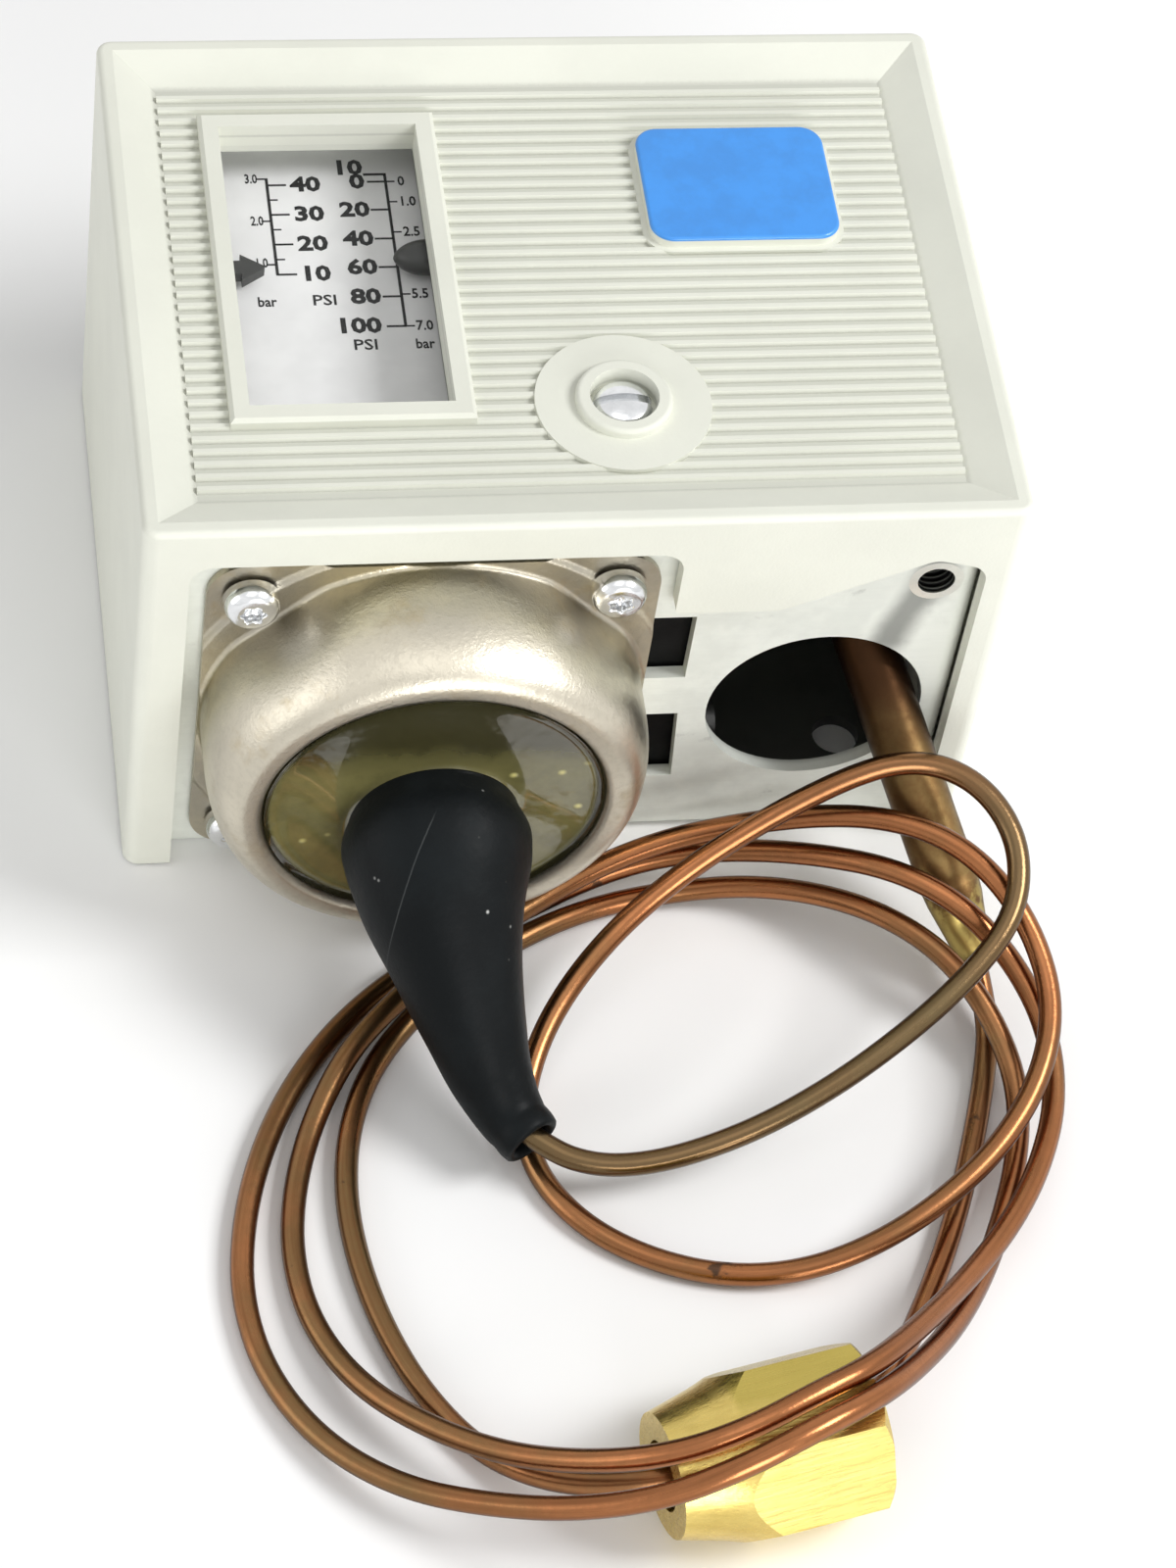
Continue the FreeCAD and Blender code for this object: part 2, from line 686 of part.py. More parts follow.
def mount_places():
    low = bottom + mount_hole_from_bottom
    upper = (right - upper_mount_from_right, top - upper_mount_from_top)
    return [(-mount_hole_x, low), (mount_hole_x, low), upper]


def make_housing():
    """Pressed flange and doughnut-shaped cup, with the pit that holds the potting."""
    half = flange_side / 2
    corners = [(housing_x - half, housing_height - half, flange_corner),
               (housing_x + half, housing_height - half, flange_corner),
               (housing_x + half, housing_height + half, flange_corner),
               (housing_x - half, housing_height + half, flange_corner)]
    flange = prism(corners, on_y(wall_y), (0, -flange_sheet, 0))
    mouth = cup_radius - cup_sheet
    flange = flange.cut(rod(mouth, (housing_x, wall_y - flange_sheet - past, housing_height),
                            (housing_x, wall_y + past, housing_height)))
    fold = cup_y + cup_fold_depth
    shoulder = cup_radius - cup_slope_in
    side_y = cup_y + cup_slope_out
    pit_back = pit_y + cup_sheet
    profile = [(mouth, wall_y, 0), (cup_radius, wall_y, 0), (cup_radius, side_y, cup_slope_out),
               (shoulder, cup_y, cup_round), (pit_radius, cup_y, pit_round), (pit_floor_radius, pit_y, 0),
               (0, pit_y, 0), (0, pit_back, 0), (pit_radius + cup_sheet, pit_back, 0),
               (pit_radius + cup_sheet, fold, 0), (shoulder - cup_sheet, fold, 0),
               (mouth, side_y, cup_slope_out - cup_sheet)]
    housing = flange.fuse(turned_about_y(profile, housing_x, housing_height))
    for x, z in housing_screw_places():
        housing = housing.cut(rod(screw_radius + thread_clearance, (x, wall_y - screw_notch, z),
                                  (x, wall_y + past, z)))
    return housing


def make_housing_screws():
    screws = []
    seat = wall_y - flange_sheet
    crown = seat - screw_head_height
    for x, z in housing_screw_places():
        profile = [(0, crown, 0), (screw_head_radius, crown, screw_head_round), (screw_head_radius, seat, 0),
                   (0, seat, 0)]
        head = turned_about_y(profile, x, z)
        head = head.cut(rod(recess_radius, (x, crown - past, z), (x, crown + recess_depth, z)))
        screws.append(head.fuse(rod(screw_radius, (x, seat - sunk, z), (x, seat + screw_length, z))))
    return Part.makeCompound(screws)


def make_potting():
    """Resin poured into the pit round the boot's foot."""
    disc = rod(pit_floor_radius - potting_gap, (housing_x, potting_y, housing_height),
               (housing_x, pit_y, housing_height))
    return disc.cut(rod(boot_base_radius, (boot_base_x, potting_y - past, boot_base_z),
                        (boot_base_x, pit_y + past, boot_base_z)))


def boot_sections():
    """Centre, direction and radius of the sections along the boot."""
    start = V(*route[0])
    tip_way = (V(*route[1]) - start).normalize()
    tip = start + tip_way * boot_tip_depth
    base = V(boot_base_x, pit_y, boot_base_z)
    collar = V(boot_base_x, potting_y - boot_collar, boot_base_z)
    straight = V(0, -1, 0)
    sections = [(base, straight, boot_base_radius), (collar, straight, boot_base_radius)]
    for share, offset, (way_x, way_z), swell in boot_bends:
        centre = base + (tip - base) * share + V(*offset)
        radius = boot_tip_radius + swell * (boot_base_radius - boot_tip_radius)
        sections.append((centre, V(way_x, -1, way_z), radius))
    sections.append((tip, tip_way, boot_tip_radius))
    return sections


def make_boot():
    wires = [Part.Wire(Part.makeCircle(radius, centre, way)) for centre, way, radius in boot_sections()]
    boot = Part.makeLoft(wires, True, False)
    tip, way, radius = boot_sections()[-1]
    return boot.cut(Part.makeCylinder(boot_tip_bore, boot_tip_depth + past, tip + way * past, way * -1))


def make_bellows():
    """Corrugated brass cup, closed at its outer end, with a rim against the frame."""
    crown = bellows_crown_y
    rim_low = wall_y - bellows_rim
    rim_radius = cup_radius - cup_sheet - bellows_rim_gap
    pitch = (rim_low - crown - bellows_wall) / bellows_folds
    low = bellows_radius - bellows_depth_of_fold
    inside = bellows_radius - bellows_wall
    outer = [(0, crown, 0), (bellows_radius, crown, 0.3)]
    inner = []
    for fold in range(bellows_folds):
        base = crown + bellows_wall + fold * pitch
        outer += [(bellows_radius, base, 0.2), (low, base + pitch / 2, 0.2)]
        inner += [(inside, base + 0.1, 0), (low - bellows_wall, base + pitch / 2, 0)]
    outer += [(bellows_radius, rim_low, 0.2), (rim_radius, rim_low, 0), (rim_radius, wall_y, 0),
              (inside, wall_y, 0)]
    corners = outer + inner[::-1] + [(0, crown + bellows_wall, 0)]
    return turned_about_y(corners, housing_x, housing_height)


def make_push_rod():
    crown = bellows_crown_y + bellows_wall + foot_gap
    tip_y = lever_under - contact_gap
    foot = rod(foot_radius, (housing_x, crown, housing_height),
               (housing_x, crown + foot_thickness, housing_height))
    stem = rod(push_rod_radius, (housing_x, crown, housing_height), (housing_x, tip_y, housing_height))
    stem = foot.fuse(stem)
    return stem.makeFillet(push_rod_round, edges_where(stem, lambda p: p.y > tip_y - 0.01))


def make_lever():
    """Pressed steel plate that swings on the pin, with two ears and the finger for the switch."""
    plate = block(lever_x0, lever_x1, lever_under, lever_over, lever_low, lever_high)
    plate = plate.fuse(block(lever_x1 - past, plunger_x + finger_past_plunger, lever_under, lever_over,
                             plunger_height - finger_width / 2, plunger_height + finger_width / 2))
    low_y, high_y = pivot_y - ear_radius, pivot_y + ear_radius
    foot_z = pivot_height - ear_radius
    shoulder_z, root_z = lever_low + ear_shoulder, lever_low + ear_root
    for x in (lever_x0, lever_x1 - ear_sheet):
        corners = [(low_y, foot_z, ear_radius - 0.1), (high_y, foot_z, ear_radius - 0.1),
                   (high_y, shoulder_z, ear_radius), (lever_over, root_z, 0), (lever_under, root_z, 0),
                   (low_y, shoulder_z, ear_radius)]
        plate = plate.fuse(prism(corners, on_x(x), (ear_sheet, 0, 0)))
    return plate.cut(rod(pin_radius + pin_clearance, (lever_x0 - past, pivot_y, pivot_height),
                         (lever_x1 + past, pivot_y, pivot_height)))


def make_lever_bracket():
    """Channel riveted to the back of the frame, whose two ears hold the pin."""
    low, high = pivot_y - bracket_base_low, pivot_y + bracket_base_high
    ear_top = pivot_height + bracket_ear_above_pin
    bracket = block(bracket_x0, bracket_x1, low, high, sheet, sheet + bracket_sheet)
    for x in (bracket_x0, bracket_x1 - bracket_sheet):
        corners = [(low, sheet + 0.2, 0), (high, sheet + 0.2, 0), (pivot_y + ear_radius, ear_top, 2.0),
                   (low, ear_top, 2.0)]
        bracket = bracket.fuse(prism(corners, on_x(x), (bracket_sheet, 0, 0)))
    return bracket.cut(rod(pin_radius, (bracket_x0 - past, pivot_y, pivot_height),
                           (bracket_x1 + past, pivot_y, pivot_height)))


def make_lever_pin():
    head_x = bracket_x1 + pin_head
    pin = rod(pin_radius, (bracket_x0, pivot_y, pivot_height), (head_x, pivot_y, pivot_height))
    return pin.fuse(rod(pin_head_radius, (bracket_x1, pivot_y, pivot_height),
                        (head_x, pivot_y, pivot_height)))


def make_adjuster(x, radius):
    """Adjusting screw with a slotted head outside the frame's top wall."""
    seat = frame_top_y + adjuster_seat_gap
    crown = seat + adjuster_head_height
    tip = lever_over + adjuster_tip_above_lever
    screw = rod(radius, (x, tip, screw_axis_height), (x, seat, screw_axis_height))
    screw = screw.fuse(rod(adjuster_head_radius, (x, seat, screw_axis_height),
                           (x, crown, screw_axis_height)))
    half = adjuster_slot / 2
    reach = adjuster_head_radius + past
    return screw.cut(block(x - reach, x + reach, crown - adjuster_slot_depth, crown + past,
                           screw_axis_height - half, screw_axis_height + half))


def make_clip(x, radius):
    """Retaining ring on the screw, under the frame's top wall."""
    high = frame_top_inner - clip_gap
    low = high - clip_thickness
    ring = rod(clip_radius, (x, low, screw_axis_height), (x, high, screw_axis_height))
    return ring.cut(rod(radius, (x, low - past, screw_axis_height), (x, high + past, screw_axis_height)))


def make_nut(x, y, outer, height, screw):
    nut = rod(outer, (x, y - height / 2, screw_axis_height), (x, y + height / 2, screw_axis_height))
    return nut.cut(rod(screw + nut_clearance, (x, y - height, screw_axis_height),
                       (x, y + height, screw_axis_height)))


def make_range_pointer():
    """Post from the nut through the slot in the dial bracket, and a rounded cone over the scale."""
    y0 = range_reading_y - range_nut_height / 2
    y1 = range_reading_y + range_nut_height / 2
    x0, x1 = range_x - range_arm_width / 2, range_x + range_arm_width / 2
    foot = screw_axis_height + range_nut_radius
    post = block(x0, x1, y0, y1, foot - post_sink, needle_z + needle_arm_radius)
    post = post.cut(rod(range_nut_radius, (range_x, y0 - past, screw_axis_height),
                        (range_x, y1 + past, screw_axis_height)))
    root_x = range_tip_x + needle_length
    arm = rod(needle_arm_radius, (root_x - sunk, range_reading_y, needle_z),
              (x0 + sunk, range_reading_y, needle_z))
    needle = cone(needle_radius, needle_tip_radius, (root_x, range_reading_y, needle_z),
                  (range_tip_x, range_reading_y, needle_z))
    return post.multiFuse([arm, needle])


def make_diff_pointer():
    """Post beside the dial bracket and a flat arrow over the scale."""
    y0 = diff_reading_y - diff_nut_height / 2
    y1 = diff_reading_y + diff_nut_height / 2
    x0, x1 = diff_arm_x - diff_arm_width / 2, diff_arm_x + diff_arm_width / 2
    low = needle_z - pointer_sheet / 2
    post = block(x0, x1, y0, y1, screw_axis_height - diff_arm_width, low + pointer_sheet)
    post = post.cut(rod(diff_nut_radius, (diff_x, y0 - past, screw_axis_height),
                        (diff_x, y1 + past, screw_axis_height)))
    root = x1 - sunk
    base = diff_tip_x - arrow_length
    y = diff_reading_y
    arm, wing = arrow_arm_half_width, arrow_half_width
    corners = [(root, y - arm, 0), (base, y - arm, 0), (base, y - wing, 0), (diff_tip_x, y, 0.2),
               (base, y + wing, 0), (base, y + arm, 0), (root, y + arm, 0)]
    return post.fuse(prism(corners, on_z(low), (0, 0, pointer_sheet)))


def make_spring(x, y0, y1, radius, wire, turns):
    """Helical compression spring along Y between two seats."""
    start = y0 + wire / 2
    length = y1 - y0 - wire
    helix = Part.makeHelix(length / turns, length, radius - wire / 2)
    profile = Part.Wire(Part.makeCircle(wire / 2, V(radius - wire / 2, 0, 0), V(0, 1, 0)))
    spring = Part.Wire(helix).makePipeShell([profile], True, True)
    spring.rotate(V(0, 0, 0), V(1, 0, 0), -90)
    spring.translate(V(x, start, screw_axis_height))
    return spring


def make_dial_bracket():
    """Steel plate behind the scale, with a slot for the range pointer and the cover screw's thread."""
    x0, x1 = window_x - dial_left_of_window, boss_x + dial_right_of_boss
    under = dial_height - past
    plate = block(x0, x1, boss_y - dial_below_boss, frame_top_inner, dial_height, bracket_z)
    plate = plate.cut(block(range_x - dial_slot_left, range_x + dial_slot_right,
                            dial_slot_bottom, dial_slot_top, under, bracket_z + past))
    plate = plate.fuse(block(x0 + dial_flange_left, x1 - dial_flange_right, frame_top_inner - dial_sheet,
                             frame_top_inner, dial_height - dial_flange, bracket_z - sunk))
    boss_low = bracket_z - cover_screw_engagement
    plate = plate.fuse(rod(cover_screw_radius + dial_boss_wall, (boss_x, boss_y, boss_low),
                           (boss_x, boss_y, bracket_z - sunk)))
    return plate.cut(rod(cover_screw_radius + thread_clearance, (boss_x, boss_y, boss_low - past),
                         (boss_x, boss_y, bracket_z + past)))


def make_scale_plate():
    x0 = window_x - dial_left_of_window
    return block(x0, x0 + scale_width, window_above_middle - scale_below_middle,
                 frame_top_inner - scale_top_gap, bracket_z, scale_z)


def make_switch_body():
    body = rounded_box(switch_x0, switch_x1, switch_y0, switch_y1, switch_low, switch_high, switch_corner)
    body = body.cut(rod(plunger_radius + plunger_clearance,
                        (plunger_x, switch_y1 - plunger_bore, plunger_height),
                        (plunger_x, switch_y1 + past, plunger_height)))
    for z in terminal_places:
        body = body.cut(rod(terminal_shank, (switch_x1 - terminal_hole_depth, switch_middle_y, z),
                            (switch_x1 + past, switch_middle_y, z)))
    return body


def make_plunger():
    return rod(plunger_radius, (plunger_x, switch_y1 - plunger_bore + plunger_overtravel, plunger_height),
               (plunger_x, lever_under - contact_gap, plunger_height))


def make_terminal_plates():
    half = terminal_side / 2
    plates = []
    for z in terminal_places:
        plate = block(switch_x1, switch_x1 + terminal_plate, switch_middle_y - half, switch_middle_y + half,
                      z - half, z + half)
        plates.append(plate.cut(rod(terminal_shank, (switch_x1 - past, switch_middle_y, z),
                                    (switch_x1 + terminal_plate + past, switch_middle_y, z))))
    return Part.makeCompound(plates)


def make_terminal_screws():
    seat = switch_x1 + terminal_plate
    crown = seat + terminal_head
    half = terminal_slot / 2
    reach = terminal_head_radius + past
    screws = []
    for z in terminal_places:
        head = rod(terminal_head_radius, (seat, switch_middle_y, z), (crown, switch_middle_y, z))
        head = head.cut(block(crown - terminal_slot, crown + past, switch_middle_y - reach,
                              switch_middle_y + reach, z - half, z + half))
        screws.append(head.fuse(rod(terminal_shank, (switch_x1 - terminal_hole_depth, switch_middle_y, z),
                                    (seat + sunk, switch_middle_y, z))))
    return Part.makeCompound(screws)


def make_ground_screw():
    crown = sheet + ground_head
    half = ground_slot / 2
    reach = ground_head_radius + past
    corners = [(ground_x + ground_head_radius * math.cos(math.radians(60 * k)),
                ground_y + ground_head_radius * math.sin(math.radians(60 * k)), 0) for k in range(6)]
    head = prism(corners, on_z(sheet), (0, 0, ground_head))
    head = head.cut(block(ground_x - reach, ground_x + reach, ground_y - half, ground_y + half,
                          crown - ground_slot, crown + past))
    return head.fuse(rod(terminal_shank, (ground_x, ground_y, 0.1), (ground_x, ground_y, sheet)))


def make_stub_tube():
    """Copper tube with a flared inner end, tapered down onto the capillary at its outer end."""
    tip = V(*stub_tip)
    way = (V(*stub_in_hole) - tip).normalize()
    length = (V(*stub_in_hole) - tip).Length + stub_inside
    radius = stub_diameter / 2
    bore = radius - stub_wall
    solid = Part.makeCone(stub_tip_radius, radius, stub_taper, tip, way)
    straight = length - stub_taper - flare_length
    solid = solid.fuse(Part.makeCylinder(radius, straight, tip + way * stub_taper, way))
    flare_start = tip + way * (length - flare_length)
    solid = solid.fuse(Part.makeCone(radius, flare_radius, flare_length, flare_start, way))
    bore_start = tip + way * (stub_taper + 1.0)
    solid = solid.cut(Part.makeCylinder(bore, length, bore_start, way))
    flare_cut = Part.makeCone(bore, bore + flare_radius - radius, flare_length, flare_start, way)
    return solid.cut(flare_cut)


def make_flare_nut():
    """Hexagonal brass nut with a hollow turned shoulder, lying on one flat; its thread is left plain."""
    corner = nut_flats / math.sqrt(3)
    corners = [(corner * math.cos(math.radians(60 * k)), corner * math.sin(math.radians(60 * k)), 0)
               for k in range(6)]
    half = nut_length / 2
    hexagon = prism(corners, on_x(-half), (nut_length, 0, 0))
    edge = corner - nut_end_chamfer
    hollow = nut_flats / 2 - nut_hollow_inside_flats
    turned = [(-half, 0, 0), (-half, nut_shoulder_radius, 0),
              (nut_hollow_length - half, hollow, nut_hollow_round),
              (nut_shoulder_length - half, corner + nut_past_corner, 0),
              (half - nut_end_chamfer, corner + nut_past_corner, 0),
              (half, edge, 0), (half, 0, 0)]
    envelope = Part.Face(rounded_wire(turned, on_z(0)))
    nut = hexagon.common(envelope.revolve(V(0, 0, 0), V(1, 0, 0), 360))
    nut = nut.cut(rod(nut_throat_radius, (-half - 1, 0, 0), (half, 0, 0)))
    seat = nut_throat_length - half
    nut = nut.cut(cone(nut_throat_radius, nut_thread_radius, (seat, 0, 0), (seat + 1.5, 0, 0)))
    nut = nut.cut(rod(nut_thread_radius, (seat + 1.5, 0, 0), (half + 1, 0, 0)))
    nut.rotate(V(0, 0, 0), V(0, 0, 1), nut_turn)
    nut.translate(V(nut_centre[0], nut_centre[1], nut_flats / 2))
    return nut


def make_capillary():
    """Tube along straight runs joined by tangent arcs, as large as the runs allow."""
    tip = V(*stub_tip)
    way = (V(*stub_in_hole) - tip).normalize()
    points = [V(*p) for p in route] + [tip + way * capillary_insert]
    edges = []
    radii = []
    last = points[0]
    for index in range(1, len(points) - 1):
        corner = points[index]
        before, after = points[index - 1] - corner, points[index + 1] - corner
        shorter = min(before.Length, after.Length)
        turn = math.pi - before.getAngle(after)
        back = 0.45 * shorter
        radius = back / math.tan(turn / 2)
        radii.append(radius)
        before.normalize()
        after.normalize()
        start, end = corner + before * back, corner + after * back
        bisector = (before + after).normalize()
        middle = corner + bisector * (radius / math.cos(turn / 2) - radius)
        edges.append(Part.LineSegment(last, start).toShape())
        edges.append(Part.Arc(start, middle, end).toShape())
        last = end
    edges.append(Part.LineSegment(last, points[-1]).toShape())
    path = Part.Wire(edges)
    radius = capillary_diameter / 2
    section = Part.Wire(Part.makeCircle(radius, points[0], points[1] - points[0]))
    tube = path.makePipeShell([section], True, False)
    expected = math.pi * radius ** 2 * path.Length
    print("capillary radii", " ".join("%.1f" % r for r in radii))
    print("capillary length %.1f, volume %.1f, section times length %.1f"
          % (path.Length, tube.Volume, expected))
    return tube


def main():
    os.makedirs("parts", exist_ok=True)
    save("cover", make_cover())
    save("window_lens", make_lens())
    save("cover_badge", make_badge())
    save("cover_screw", make_cover_screw())
    save("frame", make_frame())
    save("earth_bush", make_earth_bush())
    save("bellows_housing", make_housing())
    save("housing_screws", make_housing_screws())
    save("potting", make_potting())
    save("boot", make_boot())
    save("bellows", make_bellows())
    save("push_rod", make_push_rod())
    save("main_lever", make_lever())
    save("lever_bracket", make_lever_bracket())
    save("lever_pin", make_lever_pin())
    save("range_screw", make_adjuster(range_x, range_screw_radius))
    save("range_clip", make_clip(range_x, range_screw_radius))
    save("range_nut", make_nut(range_x, range_reading_y, range_nut_radius, range_nut_height,
                               range_screw_radius))
    save("range_pointer", make_range_pointer())
    save("range_spring", make_spring(range_x, lever_over, range_reading_y - range_nut_height / 2,
                                     range_spring_radius, range_wire, range_turns))
    save("diff_screw", make_adjuster(diff_x, diff_screw_radius))
    save("diff_clip", make_clip(diff_x, diff_screw_radius))
    save("diff_nut", make_nut(diff_x, diff_reading_y, diff_nut_radius, diff_nut_height, diff_screw_radius))
    save("diff_pointer", make_diff_pointer())
    save("diff_spring", make_spring(diff_x, lever_over, diff_reading_y - diff_nut_height / 2,
                                    diff_spring_radius, diff_wire, diff_turns))
    save("dial_bracket", make_dial_bracket())
    save("scale_plate", make_scale_plate())
    save("switch_body", make_switch_body())
    save("switch_plunger", make_plunger())
    save("terminal_plates", make_terminal_plates())
    save("terminal_screws", make_terminal_screws())
    save("ground_screw", make_ground_screw())
    save("stub_tube", make_stub_tube())
    save("flare_nut", make_flare_nut())
    save("capillary", make_capillary())


main()
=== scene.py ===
import math

import bmesh
import bpy
import numpy as np
from bpy.props import FloatProperty, FloatVectorProperty, IntProperty, PointerProperty
from bpy.types import NodeSocket, Operator, Panel, PropertyGroup
from mathutils import Matrix, Vector


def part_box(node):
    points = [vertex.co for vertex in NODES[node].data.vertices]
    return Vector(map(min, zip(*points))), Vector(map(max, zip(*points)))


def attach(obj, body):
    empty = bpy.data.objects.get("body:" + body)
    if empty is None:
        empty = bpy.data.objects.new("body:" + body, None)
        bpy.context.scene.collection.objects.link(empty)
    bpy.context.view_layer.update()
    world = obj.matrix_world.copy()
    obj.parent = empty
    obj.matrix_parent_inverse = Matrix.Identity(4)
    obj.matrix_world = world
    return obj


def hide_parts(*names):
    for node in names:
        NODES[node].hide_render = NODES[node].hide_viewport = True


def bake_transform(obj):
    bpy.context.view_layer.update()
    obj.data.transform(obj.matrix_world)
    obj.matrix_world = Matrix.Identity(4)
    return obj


bl_info = {
    "name": "Refrigeration pressure control",
    "version": (1, 0, 0),
    "blender": (4, 5, 0),
    "location": "3D View > Sidebar > Control",
    "description": "Dresses the packed pressure control with its visible pieces and finishes",
    "category": "Object",
}

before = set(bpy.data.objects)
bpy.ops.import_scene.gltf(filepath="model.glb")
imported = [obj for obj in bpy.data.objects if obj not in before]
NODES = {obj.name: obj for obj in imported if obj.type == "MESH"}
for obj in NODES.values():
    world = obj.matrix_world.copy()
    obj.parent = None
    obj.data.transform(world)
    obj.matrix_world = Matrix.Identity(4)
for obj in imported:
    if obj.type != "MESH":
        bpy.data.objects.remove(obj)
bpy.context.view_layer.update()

MM = 0.001

# The capillary's route in millimetres, from inside the boot's tip round the loops to the tube's end.
ROUTE = [
    (-8.6, -71.3, 6.9), (-4.8, -74.6, 5.8), (-0.2, -76.3, 5.2), (5.0, -76.5, 5.4), (10.8, -75.6, 6.2),
    (17.4, -73.8, 7.6), (24.6, -70.6, 9.2), (31.0, -67.0, 11.0), (36.2, -63.6, 12.8),
    (40.4, -60.2, 14.4), (43.6, -56.8, 16.0), (45.2, -53.2, 17.6), (45.4, -49.2, 19.3),
    (44.0, -45.5, 20.8), (41.3, -42.6, 22.0), (37.7, -40.9, 22.6), (33.6, -40.5, 22.5),
    (29.4, -41.0, 21.3), (24.8, -41.9, 19.2), (19.4, -43.4, 16.6), (13.0, -45.8, 13.4),
    (6.2, -49.4, 9.8), (0.4, -54.4, 6.8), (-4.0, -60.4, 4.4), (-6.4, -67.2, 2.2),
    (-5.8, -74.2, 1.2), (-1.8, -80.6, 1.2), (4.4, -85.0, 1.2), (11.8, -87.6, 1.4),
    (19.6, -88.0, 2.2), (27.4, -86.0, 3.6), (34.8, -82.0, 5.0), (41.2, -76.8, 6.6),
    (46.0, -70.4, 8.6), (48.4, -62.8, 10.2), (47.2, -55.6, 12.6), (43.6, -50.2, 15.6),
    (38.6, -46.0, 17.2), (32.6, -42.8, 16.4), (26.0, -40.4, 13.8), (19.0, -39.0, 10.8),
    (11.4, -38.8, 8.2), (3.6, -40.6, 6.0), (-3.6, -44.2, 4.5), (-10.6, -48.7, 4.2),
    (-17.2, -53.8, 4.0), (-23.2, -59.6, 2.9), (-27.4, -66.8, 1.5), (-30.0, -74.6, 1.2),
    (-31.0, -82.6, 1.2), (-29.8, -90.8, 1.6), (-26.0, -98.4, 2.8), (-20.0, -104.4, 4.6),
    (-13.2, -109.2, 7.0), (-6.2, -112.6, 10.8), (0.8, -115.0, 15.6), (7.8, -114.4, 18.6),
    (14.9, -111.2, 19.2), (20.9, -108.0, 18.2), (27.5, -101.2, 13.4), (34.4, -93.3, 8.4),
    (40.4, -86.0, 5.8), (45.0, -78.8, 4.8), (48.2, -70.8, 4.8), (48.4, -62.8, 6.4),
    (45.2, -56.0, 9.4), (39.8, -51.2, 12.9), (33.6, -46.8, 12.9), (26.8, -42.6, 10.0),
    (19.6, -39.6, 7.2), (12.0, -38.4, 5.1), (4.4, -39.4, 3.2), (-3.3, -42.3, 1.6),
    (-10.4, -45.8, 1.2), (-17.4, -50.0, 1.2), (-23.8, -55.6, 1.2), (-29.1, -62.5, 1.2),
    (-33.0, -70.3, 1.2), (-35.5, -78.8, 1.2), (-36.3, -87.4, 1.2), (-34.6, -96.1, 1.4),
    (-30.0, -104.2, 2.2), (-23.2, -110.4, 4.0), (-15.6, -114.3, 6.8), (-7.8, -117.3, 10.4),
    (0.0, -118.9, 14.8), (7.2, -118.3, 19.0), (14.3, -115.4, 20.2), (20.6, -111.6, 18.4),
    (26.4, -105.8, 13.6), (32.3, -98.3, 8.0), (37.4, -90.0, 3.8), (41.0, -82.6, 2.6),
    (43.8, -75.2, 2.4), (45.0, -67.6, 3.4), (42.8, -60.4, 6.0), (38.6, -54.6, 8.4),
    (33.4, -49.6, 8.4), (27.6, -45.0, 6.2), (20.8, -41.9, 3.9), (13.2, -40.9, 2.0),
    (5.4, -41.7, 1.2), (-2.2, -44.6, 1.2), (-9.4, -49.0, 1.2), (-15.8, -54.4, 1.2),
    (-20.8, -60.6, 1.2), (-23.8, -67.6, 1.2), (-25.0, -75.2, 1.2), (-24.6, -83.0, 1.2),
    (-22.8, -91.2, 1.2), (-19.6, -99.0, 1.2), (-14.8, -105.8, 1.4), (-8.6, -110.6, 3.6),
    (-1.6, -112.8, 6.4), (6.0, -112.2, 7.0), (13.5, -110.6, 7.4), (20.1, -107.7, 6.8),
    (25.3, -102.4, 4.4), (29.7, -95.0, 2.0), (33.8, -87.4, 1.2), (37.2, -79.8, 1.2),
    (40.0, -72.2, 1.2), (42.4, -64.8, 1.2), (43.8, -58.4, 2.2), (42.6, -51.6, 5.2),
]

# The bellows housing's axis, the outer face of the frame's bottom wall that carries it, and the boot's root, in
# millimetres.
HOUSING_X, HOUSING_Z = -14.7, 24.2
WALL_Y = -31.25
BOOT_ROOT_X, BOOT_ROOT_Z = -14.4, 21.2

# The dial plate's face and half the thickness of the ink on it.
PLATE_TOP, INK_HALF = 44.6, 0.02

# The camera that took the photograph: focal length and image height in pixels, its place in metres, the direction
# from the object back to it, the level direction to its right and its roll.
FOCAL_PIXELS, IMAGE_PIXELS = 4966.26, 1600.0
CAMERA_PLACE = (-0.0792, -0.3311, 0.4116)
CAMERA_BACK = Vector((-0.16417, -0.58858, 0.79158))
CAMERA_LEVEL = Vector((0.96324, -0.26866, 0.0))
CAMERA_ROLL = math.radians(10.38)
LAMPS_LOOK_AT = Vector((0.0, -0.03, 0.02))

# The tapered tube: from its crimped tip on the capillary through the conduit hole to its flare.
STUB_TIP = np.array((43.0, -52.6, 4.4))
STUB_IN_HOLE = np.array((34.3, -31.3, 21.0))

# The boot's sections: centre and radius in millimetres, from the resin to its tip.
BOOT = np.array([
    (-14.4, -43.4, 21.3, 8.3), (-14.4, -44.8, 21.2, 8.7), (-14.4, -46.6, 20.9, 9.5), (-14.3, -49.0, 20.0, 9.45),
    (-14.1, -52.4, 18.5, 8.6), (-13.2, -57.4, 15.8, 6.9), (-11.6, -63.2, 11.9, 5.3), (-10.0, -67.6, 8.7, 4.25),
    (-8.2, -70.9, 6.7, 3.5), (-6.5, -73.6, 6.3, 3.15),
])


# ---- Shapes -----------------------------------------------------------------------------------


